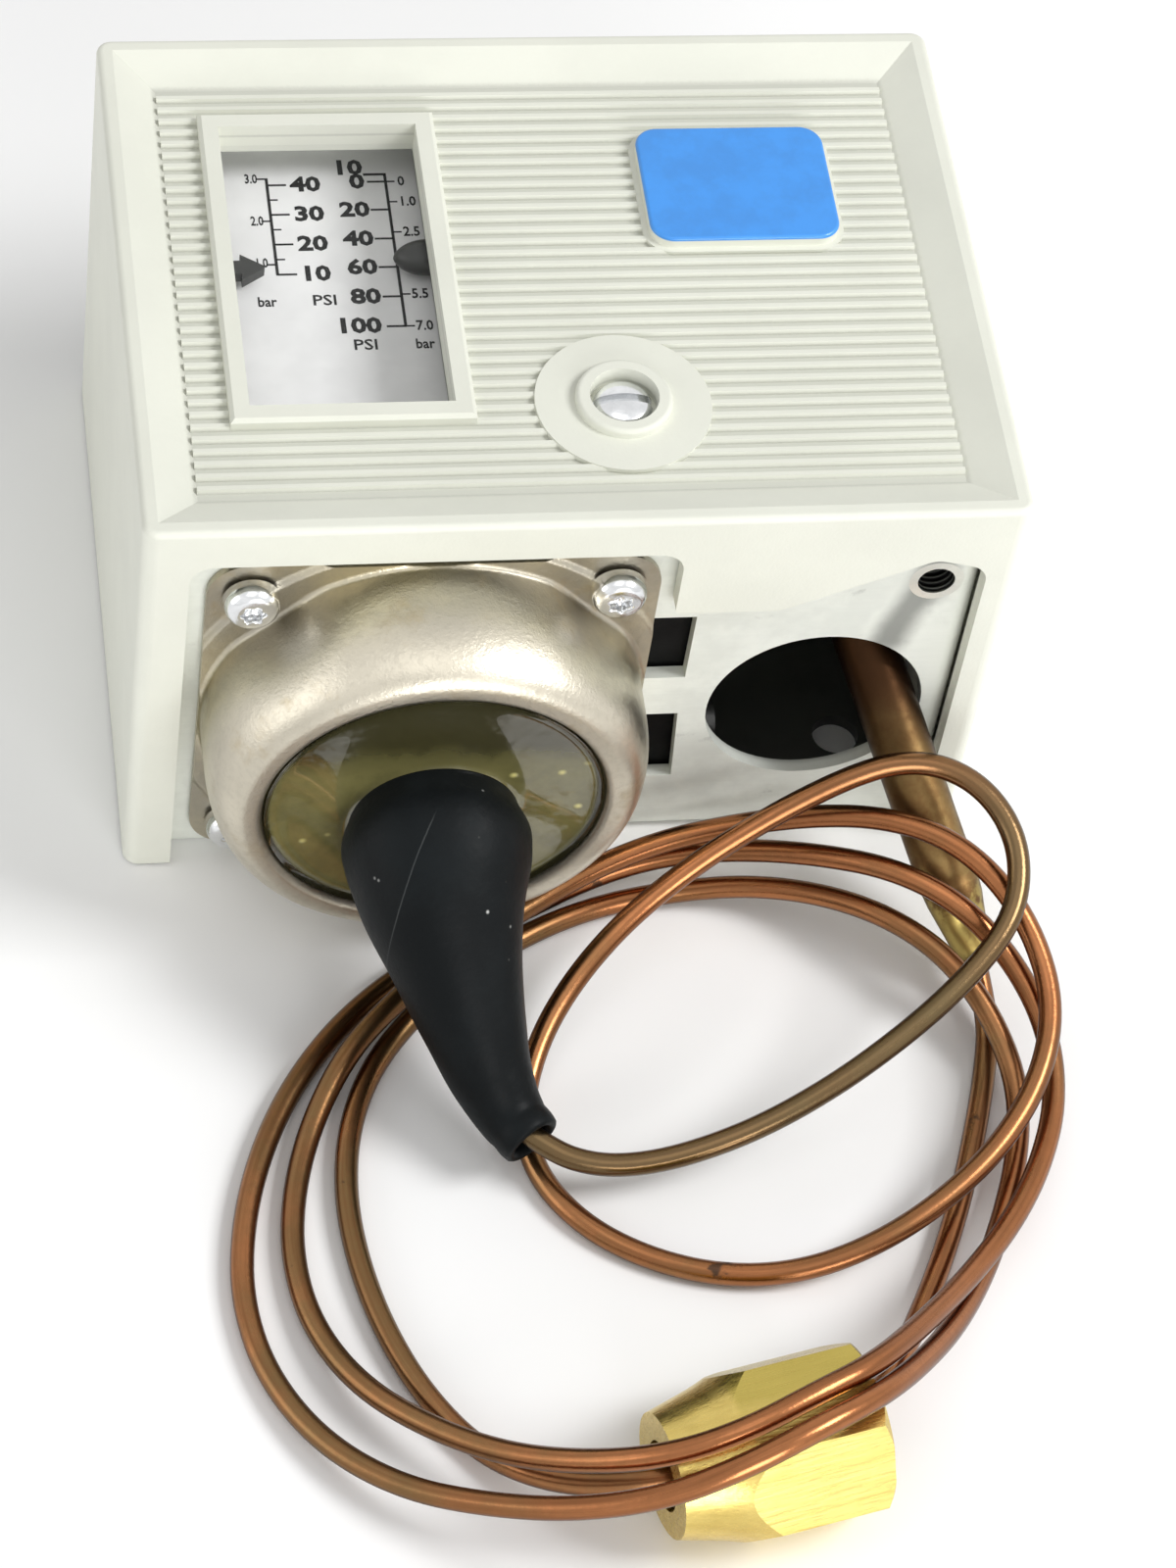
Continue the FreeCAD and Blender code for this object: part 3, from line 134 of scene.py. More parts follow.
def carried(centres, ways, radii, across=(1.0, 0.0, 0.0), steps=96):
    """Rings carried along a path: each point is its ring's centre plus its radius times
    (cosine of the turn * side + sine of the turn * up), side and up being square to the path.
    radii holds one row for each ring, with one value or one for each step round it."""
    centres = np.atleast_2d(np.asarray(centres, float))
    ways = np.broadcast_to(np.asarray(ways, float), centres.shape)
    radii = np.asarray(radii, float)
    radii = radii[:, None] if radii.ndim == 1 else radii
    turn = turns(steps)
    side = np.cross(ways, across)
    side = side / np.linalg.norm(side, axis=1, keepdims=True)
    up = np.cross(side, ways)
    up = up / np.linalg.norm(up, axis=1, keepdims=True)
    ring = np.cos(turn)[None, :, None] * side[:, None, :] + np.sin(turn)[None, :, None] * up[:, None, :]
    return centres[:, None, :] + radii[:, :, None] * ring


def turns(steps):
    """Even angles round a full turn, the last one left out."""
    return np.linspace(0.0, 2.0 * math.pi, steps, endpoint=False)


def smooth_step(x, low, high):
    """0 below low, 1 above high, and 3t^2 - 2t^3 of the share t between them."""
    t = np.clip((x - low) / (high - low), 0.0, 1.0)
    return t * t * (3.0 - 2.0 * t)


def bulge(x, middle, width, height):
    """height * e^-t^2, t being the distance from the middle over the width."""
    return height * np.exp(-((x - middle) / width) ** 2)


def quads(rows, columns, close_rows):
    """Faces of a grid that wraps along its columns, each between two rows and two columns."""
    r = np.arange(rows if close_rows else rows - 1)
    c = np.arange(columns)
    a, b = r[:, None] * columns, (r[:, None] + 1) % rows * columns
    after = (c[None, :] + 1) % columns
    return np.stack([a + c, a + after, b + after, b + c], axis=-1).reshape(-1, 4)


def surface(name, grids, body, material, close_rows=False, sharp=35.0):
    """One mesh of closed grids of points in millimetres, each an array of rows, columns and X, Y, Z."""
    points, faces, start = [], [], 0
    for grid in grids:
        rows, columns = grid.shape[:2]
        points.append(grid.reshape(-1, 3) * MM)
        faces.append(quads(rows, columns, close_rows) + start)
        start += rows * columns
    return put(name, np.concatenate(points), np.concatenate(faces), body, material, sharp)


def put(name, points, faces, body, material, sharp=35.0):
    """Object with merged doubles, outward faces and edges kept sharp above an angle in degrees. One given no
    body rides on none."""
    mesh = bpy.data.meshes.new(name)
    mesh.from_pydata(points.tolist(), [], faces.tolist())
    work = bmesh.new()
    work.from_mesh(mesh)
    bmesh.ops.remove_doubles(work, verts=work.verts, dist=2e-6)
    bmesh.ops.dissolve_degenerate(work, edges=work.edges, dist=1e-7)
    bmesh.ops.recalc_face_normals(work, faces=work.faces)
    work.to_mesh(mesh)
    work.free()
    mesh.shade_smooth()
    mesh.set_sharp_from_angle(angle=math.radians(sharp))
    piece = bpy.data.objects.new(name, mesh)
    bpy.context.scene.collection.objects.link(piece)
    mesh.materials.append(material)
    if body:
        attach(piece, body)
    return piece


def arc(centre_r, centre_h, radius, start, end, count=9):
    """Points of a profile on a circle, angles in degrees from the outward direction."""
    turn = np.radians(np.linspace(start, end, count))
    return np.stack([centre_r + radius * np.cos(turn), centre_h + radius * np.sin(turn)], axis=1)


def line(start, end, count=2):
    """Evenly spaced points of a profile between two (radius, height) places."""
    return np.linspace(start, end, count)


def smooth_path(table, count):
    """Rows of a table joined by a cubic through each: Hermite pieces with the slope of the neighbours."""
    table = np.asarray(table, float)
    gap = np.linalg.norm(np.diff(table[:, :3], axis=0), axis=1)
    along = np.concatenate([[0.0], np.cumsum(gap)])
    slope = np.gradient(table, along, axis=0)
    at = np.linspace(0.0, along[-1], count)
    k = np.clip(np.searchsorted(along, at, side="right") - 1, 0, len(gap) - 1)
    h = gap[k][:, None]
    t = ((at - along[k]) / gap[k])[:, None]
    return ((2 * t**3 - 3 * t**2 + 1) * table[k] + (t**3 - 2 * t**2 + t) * h * slope[k]
            + (3 * t**2 - 2 * t**3) * table[k + 1] + (t**3 - t**2) * h * slope[k + 1])


# ---- Finishes ---------------------------------------------------------------------------------


def add(tree, kind, inputs=None, **settings):
    """New node; inputs maps a socket's name to a value or to another node's socket."""
    made = tree.nodes.new(kind)
    for key, value in settings.items():
        setattr(made, key, value)
    for key, value in (inputs or {}).items():
        if isinstance(value, NodeSocket):
            tree.links.new(value, made.inputs[key])
        else:
            made.inputs[key].default_value = value
    return made


def group(name, sockets, build):
    """Shader node group with named sockets, built once: sockets maps a name to (IN or OUT, kind, default)."""
    found = bpy.data.node_groups.get(name)
    if found:
        return found
    tree = bpy.data.node_groups.new(name, "ShaderNodeTree")
    for label, (way, kind, default) in sockets.items():
        socket = tree.interface.new_socket(name=label, in_out=way + "PUT", socket_type="NodeSocket" + kind)
        if default is not None:
            socket.default_value = default
    start = tree.nodes.new("NodeGroupInput").outputs
    end = tree.nodes.new("NodeGroupOutput")
    for label, socket in build(tree, start).items():
        tree.links.new(socket, end.inputs[label])
    return tree


def mottle_group():
    """Soft patches of two colours: cloud noise eased between two levels."""

    def build(tree, start):
        cloud = add(tree, "ShaderNodeTexNoise", {"Vector": start["Vector"], "Scale": start["Scale"], "Detail": 6.0,
                                                 "Roughness": 0.62})
        mask = add(tree, "ShaderNodeMapRange", {"Value": cloud.outputs["Fac"], "From Min": start["Low"],
                                                "From Max": start["High"]}, interpolation_type="SMOOTHSTEP")
        mix = add(tree, "ShaderNodeMix", {"Factor": mask.outputs["Result"], "A": start["Dark"], "B": start["Light"]},
                  data_type="RGBA")
        return {"Color": mix.outputs["Result"], "Mask": mask.outputs["Result"]}

    return group("Mottle", {
        "Vector": ("IN", "Vector", None), "Scale": ("IN", "Float", 40.0), "Low": ("IN", "Float", 0.35),
        "High": ("IN", "Float", 0.65), "Dark": ("IN", "Color", (0.4, 0.4, 0.4, 1)),
        "Light": ("IN", "Color", (0.6, 0.6, 0.6, 1)), "Color": ("OUT", "Color", None), "Mask": ("OUT", "Float", None),
    }, build)


def grain_group():
    """Fine even grain: the height of small noise times a depth."""

    def build(tree, start):
        fine = add(tree, "ShaderNodeTexNoise", {"Vector": start["Vector"], "Scale": start["Scale"], "Detail": 3.0,
                                                "Roughness": 0.55})
        height = add(tree, "ShaderNodeMath", {0: fine.outputs["Fac"], 1: start["Depth"]}, operation="MULTIPLY")
        return {"Height": height.outputs[0], "Mask": fine.outputs["Fac"]}

    return group("Grain", {
        "Vector": ("IN", "Vector", None), "Scale": ("IN", "Float", 1800.0), "Depth": ("IN", "Float", 1.0),
        "Height": ("OUT", "Float", None), "Mask": ("OUT", "Float", None),
    }, build)


def drawn_group():
    """Marks of drawing or turning: noise stretched along the direction that Stretch makes small."""

    def build(tree, start):
        place = add(tree, "ShaderNodeVectorMath", {0: start["Vector"], 1: start["Stretch"]}, operation="MULTIPLY")
        fine = add(tree, "ShaderNodeTexNoise", {"Vector": place.outputs[0], "Scale": 1.0, "Detail": 4.0,
                                                "Roughness": 0.6})
        mask = add(tree, "ShaderNodeMapRange", {"Value": fine.outputs["Fac"], "From Min": 0.3, "From Max": 0.7})
        return {"Mask": mask.outputs["Result"]}

    return group("Drawn Marks", {
        "Vector": ("IN", "Vector", None), "Stretch": ("IN", "Vector", (100.0, 4000.0, 4000.0)),
        "Mask": ("OUT", "Float", None),
    }, build)


def speck_group():
    """Scattered round specks: 1 inside a share of the cells' small discs, else 0."""

    def build(tree, start):
        cells = add(tree, "ShaderNodeTexVoronoi", {"Vector": start["Vector"], "Scale": start["Scale"]})
        near = add(tree, "ShaderNodeMapRange", {"Value": cells.outputs["Distance"], "From Min": start["Size"],
                                                "From Max": 0.0}, interpolation_type="SMOOTHSTEP")
        draw = add(tree, "ShaderNodeSeparateColor", {"Color": cells.outputs["Color"]})
        chosen = add(tree, "ShaderNodeMath", {0: draw.outputs["Red"], 1: start["Share"]}, operation="LESS_THAN")
        mask = add(tree, "ShaderNodeMath", {0: near.outputs["Result"], 1: chosen.outputs[0]}, operation="MULTIPLY")
        return {"Mask": mask.outputs[0]}

    return group("Specks", {
        "Vector": ("IN", "Vector", None), "Scale": ("IN", "Float", 500.0), "Size": ("IN", "Float", 0.2),
        "Share": ("IN", "Float", 0.2), "Mask": ("OUT", "Float", None),
    }, build)


def streak_group():
    """Streaks along a tube: noise on a cylinder that U runs along and V goes round."""

    def build(tree, start):
        split = add(tree, "ShaderNodeSeparateXYZ", {"Vector": start["Vector"]})
        turn = add(tree, "ShaderNodeMath", {0: split.outputs["Y"], 1: 2.0 * math.pi}, operation="MULTIPLY").outputs[0]
        side, rise = (add(tree, "ShaderNodeMath", {0: turn}, operation=kind).outputs[0] for kind in ("COSINE", "SINE"))
        along = add(tree, "ShaderNodeMath", {0: split.outputs["X"], 1: start["Along"]}, operation="MULTIPLY").outputs[0]
        place = add(tree, "ShaderNodeCombineXYZ", {"X": along, "Y": side, "Z": rise})
        fine = add(tree, "ShaderNodeTexNoise", {"Vector": place.outputs["Vector"], "Scale": start["Around"],
                                                "Detail": 4.0, "Roughness": 0.6})
        mask = add(tree, "ShaderNodeMapRange", {"Value": fine.outputs["Fac"], "From Min": 0.36, "From Max": 0.66})
        return {"Mask": mask.outputs["Result"]}

    return group("Streaks", {
        "Vector": ("IN", "Vector", None), "Along": ("IN", "Float", 20.0), "Around": ("IN", "Float", 2.0),
        "Mask": ("OUT", "Float", None),
    }, build)


class Finish:
    """A material being built: its tree, its Principled shader and the object's own coordinates."""

    def __init__(self, name, **constants):
        self.material = bpy.data.materials.new(name)
        self.material.use_nodes = True
        self.tree = self.material.node_tree
        self.shader = self.tree.nodes["Principled BSDF"]
        self.place = add(self.tree, "ShaderNodeTexCoord").outputs["Object"]
        for key, value in constants.items():
            self.shader.inputs[key.replace("_", " ")].default_value = value

    def use(self, tree, **inputs):
        """A shared group placed in this material with its own values."""
        return add(self.tree, "ShaderNodeGroup", {"Vector": self.place, **inputs}, node_tree=tree).outputs

    def patches(self, scale, dark, light, low=0.35, high=0.65):
        """Soft patches of two colours, and their mask."""
        return self.use(mottle_group(), Scale=scale, Dark=tone(dark), Light=tone(light), Low=low, High=high)

    def ramp(self, value, start, end):
        """0 where the value is start, 1 where it is end, eased between."""
        made = add(self.tree, "ShaderNodeMapRange", {"Value": value, "From Min": start, "From Max": end},
                   interpolation_type="SMOOTHSTEP")
        return made.outputs["Result"]

    def axis(self, name):
        """One of the object's own coordinates, in metres."""
        return add(self.tree, "ShaderNodeSeparateXYZ", {"Vector": self.place}).outputs[name]

    def math(self, operation, *values):
        """One number worked out from others."""
        return add(self.tree, "ShaderNodeMath", dict(enumerate(values)), operation=operation).outputs[0]

    def times(self, first, second):
        """The product of two values or masks."""
        return self.math("MULTIPLY", first, second)

    def over(self, mask, below, above):
        """below where the mask is 0, above where it is 1."""
        below, above = (side if isinstance(side, NodeSocket) else tone(side) for side in (below, above))
        mix = add(self.tree, "ShaderNodeMix", {"Factor": mask, "A": below, "B": above}, data_type="RGBA")
        return mix.outputs["Result"]

    def between(self, mask, low, high):
        """A value that goes from low to high as the mask goes from 0 to 1."""
        return add(self.tree, "ShaderNodeMapRange", {"Value": mask, "To Min": low, "To Max": high}).outputs["Result"]

    def sum(self, first, second, share=1.0):
        """The first value and a share of the second."""
        return self.math("ADD", first, self.times(second, share))

    def grazing(self, strength):
        """A mask that rises to a strength where the surface turns away from the eye, used to paint dark reflections
        along the tubes' edges.
        """
        facing = add(self.tree, "ShaderNodeLayerWeight", {"Blend": 0.5}).outputs["Facing"]
        return self.between(self.ramp(facing, 0.45, 0.95), 0.0, strength)

    def done(self, color=None, rough=None, height=None, depth=0.00005, strength=1.0):
        """Links what was worked out into the shader; height becomes a bump of that depth in metres."""
        if color is not None:
            self.tree.links.new(color, self.shader.inputs["Base Color"])
        if rough is not None:
            self.tree.links.new(rough, self.shader.inputs["Roughness"])
        if height is not None:
            bump = add(self.tree, "ShaderNodeBump", {"Height": height, "Distance": depth, "Strength": strength})
            self.tree.links.new(bump.outputs["Normal"], self.shader.inputs["Normal"])
        return self.material


def tone(color):
    """A colour with its alpha."""
    return (*color[:3], 1.0)


def shade(color, factor):
    """A colour made darker or paler by a factor."""
    return tuple(c * factor for c in color[:3])


def cover_plastic(color):
    """Moulded pale plastic: faint cloudiness, fine spark grain, a satin sheen and painted shade in the grooves between
    the face's ribs.
    """
    f = Finish("cover plastic", Specular_IOR_Level=0.4)
    cloud = f.patches(55.0, shade(color, 0.955), color)
    grain = f.use(grain_group(), Scale=2600.0)
    height = f.sum(f.axis("Z"), grain["Mask"], 0.00012)
    # Painted shade: the heights between the rib tops and the groove floors, inside the face's border, are darkened
    # because shade falls in the grooves.
    dust_and_groove_shade = f.times(f.ramp(height, 0.05186, 0.05160), f.ramp(height, 0.05135, 0.05150))
    for axis, edge in (("X", 0.0430), ("Y", 0.0325)):
        dust_and_groove_shade = f.times(dust_and_groove_shade, f.ramp(f.math("ABSOLUTE", f.axis(axis)), edge, edge - 0.0004))
    dusted_and_groove_shaded = f.over(f.between(dust_and_groove_shade, 0.0, 0.6), cloud["Color"], shade(color, 0.68))
    return f.done(dusted_and_groove_shaded, f.between(grain["Mask"], 0.4, 0.58), grain["Height"], 0.00004, 0.5)


def badge_plastic(color, side):
    """Blue enamel on the badge's face, glossy and slightly streaked; its sides stay cover plastic."""
    f = Finish("badge blue", Coat_Weight=0.35, Coat_Roughness=0.1)
    cloud = f.patches(200.0, shade(color, 0.93), shade(color, 1.07))
    grain = f.use(grain_group(), Scale=900.0)
    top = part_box("cover_badge")[1][2]
    enamel = f.over(f.ramp(f.axis("Z"), top - 0.00045, top - 0.0003), side, cloud["Color"])
    return f.done(enamel, f.between(cloud["Mask"], 0.32, 0.4), grain["Height"], 0.00004, 0.35)


def plated_steel(name, dark, light, rough=(0.3, 0.45), scale=160.0, depth=0.00003):
    """Plated sheet steel: cloudy zinc with a faint rolled texture."""
    f = Finish(name, Metallic=1.0)
    cloud = f.patches(scale, dark, light, 0.3, 0.7)
    grain = f.use(grain_group(), Scale=2200.0)
    return f.done(cloud["Color"], f.between(cloud["Mask"], rough[1], rough[0]), grain["Height"], depth, 0.4)


def frame_zinc(color):
    """Dull bright zinc: soft grey clouds, rolling marks, rub marks, a painted dark reflection band beside the
    conduit hole and painted shade on the floor inside, behind it."""
    f = Finish("frame zinc", Metallic=0.25, Specular_IOR_Level=0.5)
    cloud = f.patches(95.0, shade(color, 0.84), color, 0.34, 0.62)
    rolled = f.use(drawn_group(), Stretch=(180.0, 2600.0, 2600.0))
    rub = f.patches(210.0, (0, 0, 0), (1, 1, 1), 0.66, 0.74)
    scraped = f.use(drawn_group(), Stretch=(900.0, 900.0, 160.0))
    lined = f.over(f.between(rolled["Mask"], 0.0, 0.12), cloud["Color"], shade(color, 0.7))
    marked = f.over(f.times(rub["Mask"], f.between(scraped["Mask"], 0.0, 0.5)), lined, shade(color, 0.35))
    x, y, z = (f.axis(name) for name in "XYZ")
    # Painted reflection: a dark band placed by position beside the conduit hole stands in for a dark streak reflected
    # in the zinc.
    slant = f.sum(f.sum(x, z, -0.25), cloud["Mask"], 0.0008)
    band = f.times(f.times(f.ramp(slant, 0.0225, 0.0252), f.ramp(slant, 0.0292, 0.0262)), f.ramp(z, 0.027, 0.031))
    painted_reflection_band = f.over(f.times(f.times(band, f.ramp(y, -0.030, -0.031)), 0.9), marked, shade(color, 0.3))
    # Painted shade: the frame's floor inside, behind the bottom wall and low down, is made near black because it lies
    # in shade behind the conduit hole.
    inside = f.times(f.times(f.ramp(y, -0.0305, -0.029), f.ramp(y, 0.014, -0.006)), f.ramp(z, 0.02, 0.008))
    painted_inside_shade = f.over(f.between(inside, 0.0, 0.93), painted_reflection_band, shade(color, 0.02))
    return f.done(painted_inside_shade, f.between(cloud["Mask"], 0.6, 0.48), rolled["Mask"], 0.00002, 0.3)


def threaded_zinc(color):
    """The earth hole's bush: zinc face, and a bore with painted shade and painted highlights on its thread crests."""
    f = Finish("threaded zinc", Metallic=0.6)
    cloud = f.patches(180.0, shade(color, 0.8), color)
    y, pitch = f.axis("Y"), 0.0007
    wave = f.math("SINE", f.times(y, 2.0 * math.pi / pitch))
    # Painted shade and highlight: the bore is near black, with pale stripes where the thread crests would catch the
    # light.
    bore_shade_and_crest_glints = f.over(f.ramp(wave, 0.3, 0.95), (0.01, 0.01, 0.01), (0.35, 0.36, 0.33))
    inside = f.ramp(y, -0.0312, -0.0310)
    return f.done(f.over(inside, cloud["Color"], bore_shade_and_crest_glints), f.between(cloud["Mask"], 0.4, 0.3), wave, 0.0001, 0.6)


def housing_plate(color):
    """Satin nickel plate: painted shade, darker and olive, towards the flange and painted light on the paler crest,
    warm brown smudges and fine scratches.
    """
    f = Finish("housing plate", Metallic=1.0)
    # Painted shade and light: by position along the axis, the cup is darker and olive near the flange and paler on the
    # crest.
    flange_shade_to_crest_light = f.ramp(f.axis("Y"), -0.0345, -0.0435)
    dark = f.over(flange_shade_to_crest_light, shade(color, 0.6), shade(color, 0.84))
    light = f.over(flange_shade_to_crest_light, (0.58, 0.525, 0.385), color)
    cloud = f.use(mottle_group(), Scale=60.0, Dark=dark, Light=light, Low=0.34, High=0.64)
    smudge = f.patches(170.0, (0, 0, 0), (1, 1, 1), 0.54, 0.7)
    fine = f.patches(1400.0, (0, 0, 0), (1, 1, 1), 0.45, 0.65)
    warm = f.over(f.between(smudge["Mask"], 0.0, 0.5), cloud["Color"], (0.40, 0.32, 0.19))
    worn = f.over(f.between(fine["Mask"], 0.0, 0.14), warm, shade(color, 0.5))
    grain = f.use(grain_group(), Scale=3200.0)
    height = f.sum(grain["Height"], fine["Mask"], 0.4)
    return f.done(worn, f.sum(f.between(cloud["Mask"], 0.38, 0.29), smudge["Mask"], 0.08), height, 0.00004, 0.7)


def copper_tube(color):
    """Drawn copper, browned: long stretches of olive and orange, streaks along the tube, near-black oxide and painted
    dark reflections along its edges.
    """
    f = Finish("copper tube", Metallic=1.0)
    length = add(f.tree, "ShaderNodeTexCoord").outputs["UV"]
    long = f.patches(26.0, (0.21, 0.132, 0.058), color, 0.38, 0.6)
    streak = f.use(streak_group(), Vector=length, Along=24.0, Around=1.5)
    fine = f.patches(900.0, (0, 0, 0), (1, 1, 1), 0.35, 0.7)
    drawn = f.over(f.between(streak["Mask"], 0.0, 0.65), long["Color"], shade(color, 0.32))
    dull = f.over(f.between(fine["Mask"], 0.0, 0.18), drawn, shade(color, 0.5))
    spot = f.patches(85.0, (0, 0, 0), (1, 1, 1), 0.67, 0.71)
    along = add(f.tree, "ShaderNodeSeparateXYZ", {"Vector": length}).outputs["X"]
    first = f.times(f.ramp(along, 0.16, 0.09), 0.85)
    browned = f.over(first, dull, (0.13, 0.098, 0.05))
    stains_and_painted_edges = f.over(f.between(spot["Mask"], 0.0, 0.8), browned, (0.04, 0.032, 0.026))
    # Painted reflection: the tube darkens towards its edges as they turn from the eye, standing in for dark
    # surroundings reflected there.
    stains_and_painted_edges = f.over(f.grazing(0.85), stains_and_painted_edges, (0.035, 0.014, 0.008))
    rough = f.sum(f.between(long["Mask"], 0.28, 0.2), spot["Mask"], 0.25)
    return f.done(stains_and_painted_edges, f.sum(rough, streak["Mask"], 0.1), fine["Mask"], 0.00002, 0.35)


def stub_copper(copper, brass):
    """The wider tube: olive brown copper, with painted shade inside the hole, painted dark reflections along its edges
    and yellow solder towards its tip.
    """
    f = Finish("stub copper", Metallic=1.0)
    cloud = f.patches(110.0, (0.15, 0.085, 0.032), (0.30, 0.20, 0.08), 0.32, 0.66)
    fine = f.patches(700.0, (0, 0, 0), (1, 1, 1), 0.4, 0.65)
    aged = f.over(f.between(fine["Mask"], 0.0, 0.25), cloud["Color"], shade(copper, 0.4))
    low = f.sum(f.axis("Z"), fine["Mask"], 0.003)
    mixed = f.over(f.times(f.ramp(low, 0.0125, 0.009), 0.8), aged, shade(brass, 0.6))
    # Painted shade: near black where the tube runs into the conduit hole.
    inside = f.ramp(f.axis("Y"), -0.044, -0.031)
    dark = f.over(inside, mixed, (0.04, 0.019, 0.009))
    # Painted reflection: darker towards the edges as they turn from the eye.
    dark = f.over(f.grazing(0.7), dark, (0.03, 0.016, 0.008))
    return f.done(dark, f.between(fine["Mask"], 0.4, 0.5), fine["Mask"], 0.00002, 0.35)


def nut_brass(color, name="nut brass", darkened_upper_flat=True):
    """Machined brass: drawn bands along the flats, turned lines on the shoulder, and on the nut's upper flat a darker
    olive colour."""
    f = Finish(name, Metallic=1.0)
    turned = add(f.tree, "ShaderNodeMapping", {"Vector": f.place, "Rotation": (0.0, 0.0, math.radians(-12.0))})
    bands = f.use(drawn_group(), Vector=turned.outputs["Vector"], Stretch=(40.0, 700.0, 700.0))
    marks = f.use(drawn_group(), Vector=turned.outputs["Vector"], Stretch=(260.0, 2600.0, 2600.0))
    cloud = f.patches(140.0, shade(color, 0.8), color, 0.3, 0.66)
    banded = f.over(f.between(bands["Mask"], 0.0, 0.5), cloud["Color"], (0.52, 0.36, 0.085))
    lined = f.over(f.between(marks["Mask"], 0.0, 0.15), banded, shade(color, 0.45))
    # The nut's upper flat, found by position, is made darker and olive.
    if darkened_upper_flat:
        across = f.sum(f.sum(f.axis("Y"), f.axis("X"), -0.25), cloud["Mask"], 0.0015)
        along = f.ramp(f.sum(f.axis("X"), f.axis("Y"), 0.25), -0.0205, -0.0195)
        upper = f.times(f.ramp(across, -0.1135, -0.1105), along)
        lined = f.over(f.times(upper, 0.75), lined, (0.42, 0.335, 0.075))
    height = f.sum(marks["Mask"], bands["Mask"], 0.8)
    return f.done(lined, f.between(marks["Mask"], 0.22, 0.34), height, 0.00004, 0.35)


def poured_resin(color):
    """Poured olive resin: glassy coat, yellower at the sides, painted shade along the top and a painted dark ring at
    the pit's edge, with small bubbles.
    """
    f = Finish("poured resin", Coat_Weight=1.0, Coat_Roughness=0.02, Specular_IOR_Level=0.5, Coat_IOR=1.6)
    cloud = f.patches(190.0, shade(color, 0.7), color, 0.34, 0.66)
    high = f.sum(f.axis("Z"), cloud["Mask"], 0.002)
    # Painted shade: darker along the top, where the pit's rim shades the resin.
    painted_top_shade = f.over(f.ramp(high, 0.030, 0.0345), cloud["Color"], shade(color, 0.25))
    bubble = f.use(speck_group(), Scale=400.0, Size=0.24, Share=0.24)
    side = f.ramp(f.axis("Z"), 0.031, 0.028)
    # Painted shade: a dark ring along the pit's edge.
    rim = f.over(f.ramp(f.axis("Y"), -0.04465, -0.0449), painted_top_shade, shade(color, 0.12))
    dotted = f.over(f.times(f.times(bubble["Mask"], side), 0.9), rim, shade(color, 4.5))
    wave = f.use(grain_group(), Scale=140.0)
    height = f.sum(wave["Height"], f.times(bubble["Mask"], side), 0.12)
    return f.done(dotted, f.between(cloud["Mask"], 0.16, 0.1), height, 0.0008, 0.5)


def boot_rubber(color):
    """Moulded black rubber: dull bloom, a soft grain and a few pale drops near its shoulder."""
    f = Finish("boot rubber", Specular_IOR_Level=0.1)
    cloud = f.patches(90.0, color, shade(color, 1.8), 0.4, 0.72)
    drops = f.use(speck_group(), Scale=460.0, Size=0.13, Share=0.4)
    near = f.times(drops["Mask"], f.ramp(f.axis("Z"), 0.019, 0.022))
    dust_and_groove_shade = f.use(speck_group(), Scale=700.0, Size=0.14, Share=0.05)
    dusted_and_groove_shaded = f.over(f.times(dust_and_groove_shade["Mask"], 0.25), cloud["Color"], (0.3, 0.3, 0.28))
    specked = f.over(near, dusted_and_groove_shaded, (0.55, 0.56, 0.54))
    slant = f.sum(f.sum(f.axis("X"), f.axis("Y"), -0.56), cloud["Mask"], 0.0002)
    thin = f.times(f.ramp(slant, 0.01242, 0.01254), f.ramp(slant, 0.01268, 0.01256))
    reach = f.times(f.ramp(f.axis("Y"), -0.0495, -0.0515), f.ramp(f.axis("Y"), -0.0600, -0.0570))
    specked = f.over(f.times(f.times(thin, reach), 0.22), specked, (0.2, 0.21, 0.21))
    grain = f.use(grain_group(), Scale=1500.0)
    return f.done(specked, f.between(cloud["Mask"], 0.42, 0.56), grain["Height"], 0.00006, 0.6)


def plain_moulding(name, color, rough=(0.35, 0.5), grain_scale=1800.0, gloss=0.5):
    """Small moulded part with a slight cloud and grain."""
    f = Finish(name, Specular_IOR_Level=gloss)
    cloud = f.patches(200.0, shade(color, 0.94), color)
    grain = f.use(grain_group(), Scale=grain_scale)
    return f.done(cloud["Color"], f.between(cloud["Mask"], rough[1], rough[0]), grain["Height"], 0.00003, 0.4)


def window_plastic():
    """Clear thin plastic: it shows mostly what lies behind it, with a clean gloss."""
    f = Finish("window plastic", Alpha=0.025, Specular_IOR_Level=0.8)
    haze = f.patches(120.0, (0.30, 0.31, 0.31), (0.34, 0.35, 0.35))
    return f.done(haze["Color"], f.between(haze["Mask"], 0.02, 0.05))


def printed_ink():
    """Black printing ink, slightly uneven."""
    f = Finish("printed ink", Roughness=0.6, Specular_IOR_Level=0.3)
    cloud = f.patches(600.0, (0.008, 0.008, 0.008), (0.02, 0.02, 0.02))
    return f.done(cloud["Color"])


def floor_paint(color):
    """Even pale floor that keeps the soft shadow."""
    f = Finish("floor paint", Roughness=0.9, Specular_IOR_Level=0.1)
    cloud = f.patches(3.0, shade(color, 0.99), color)
    return f.done(cloud["Color"])


# ---- Settings ---------------------------------------------------------------------------------


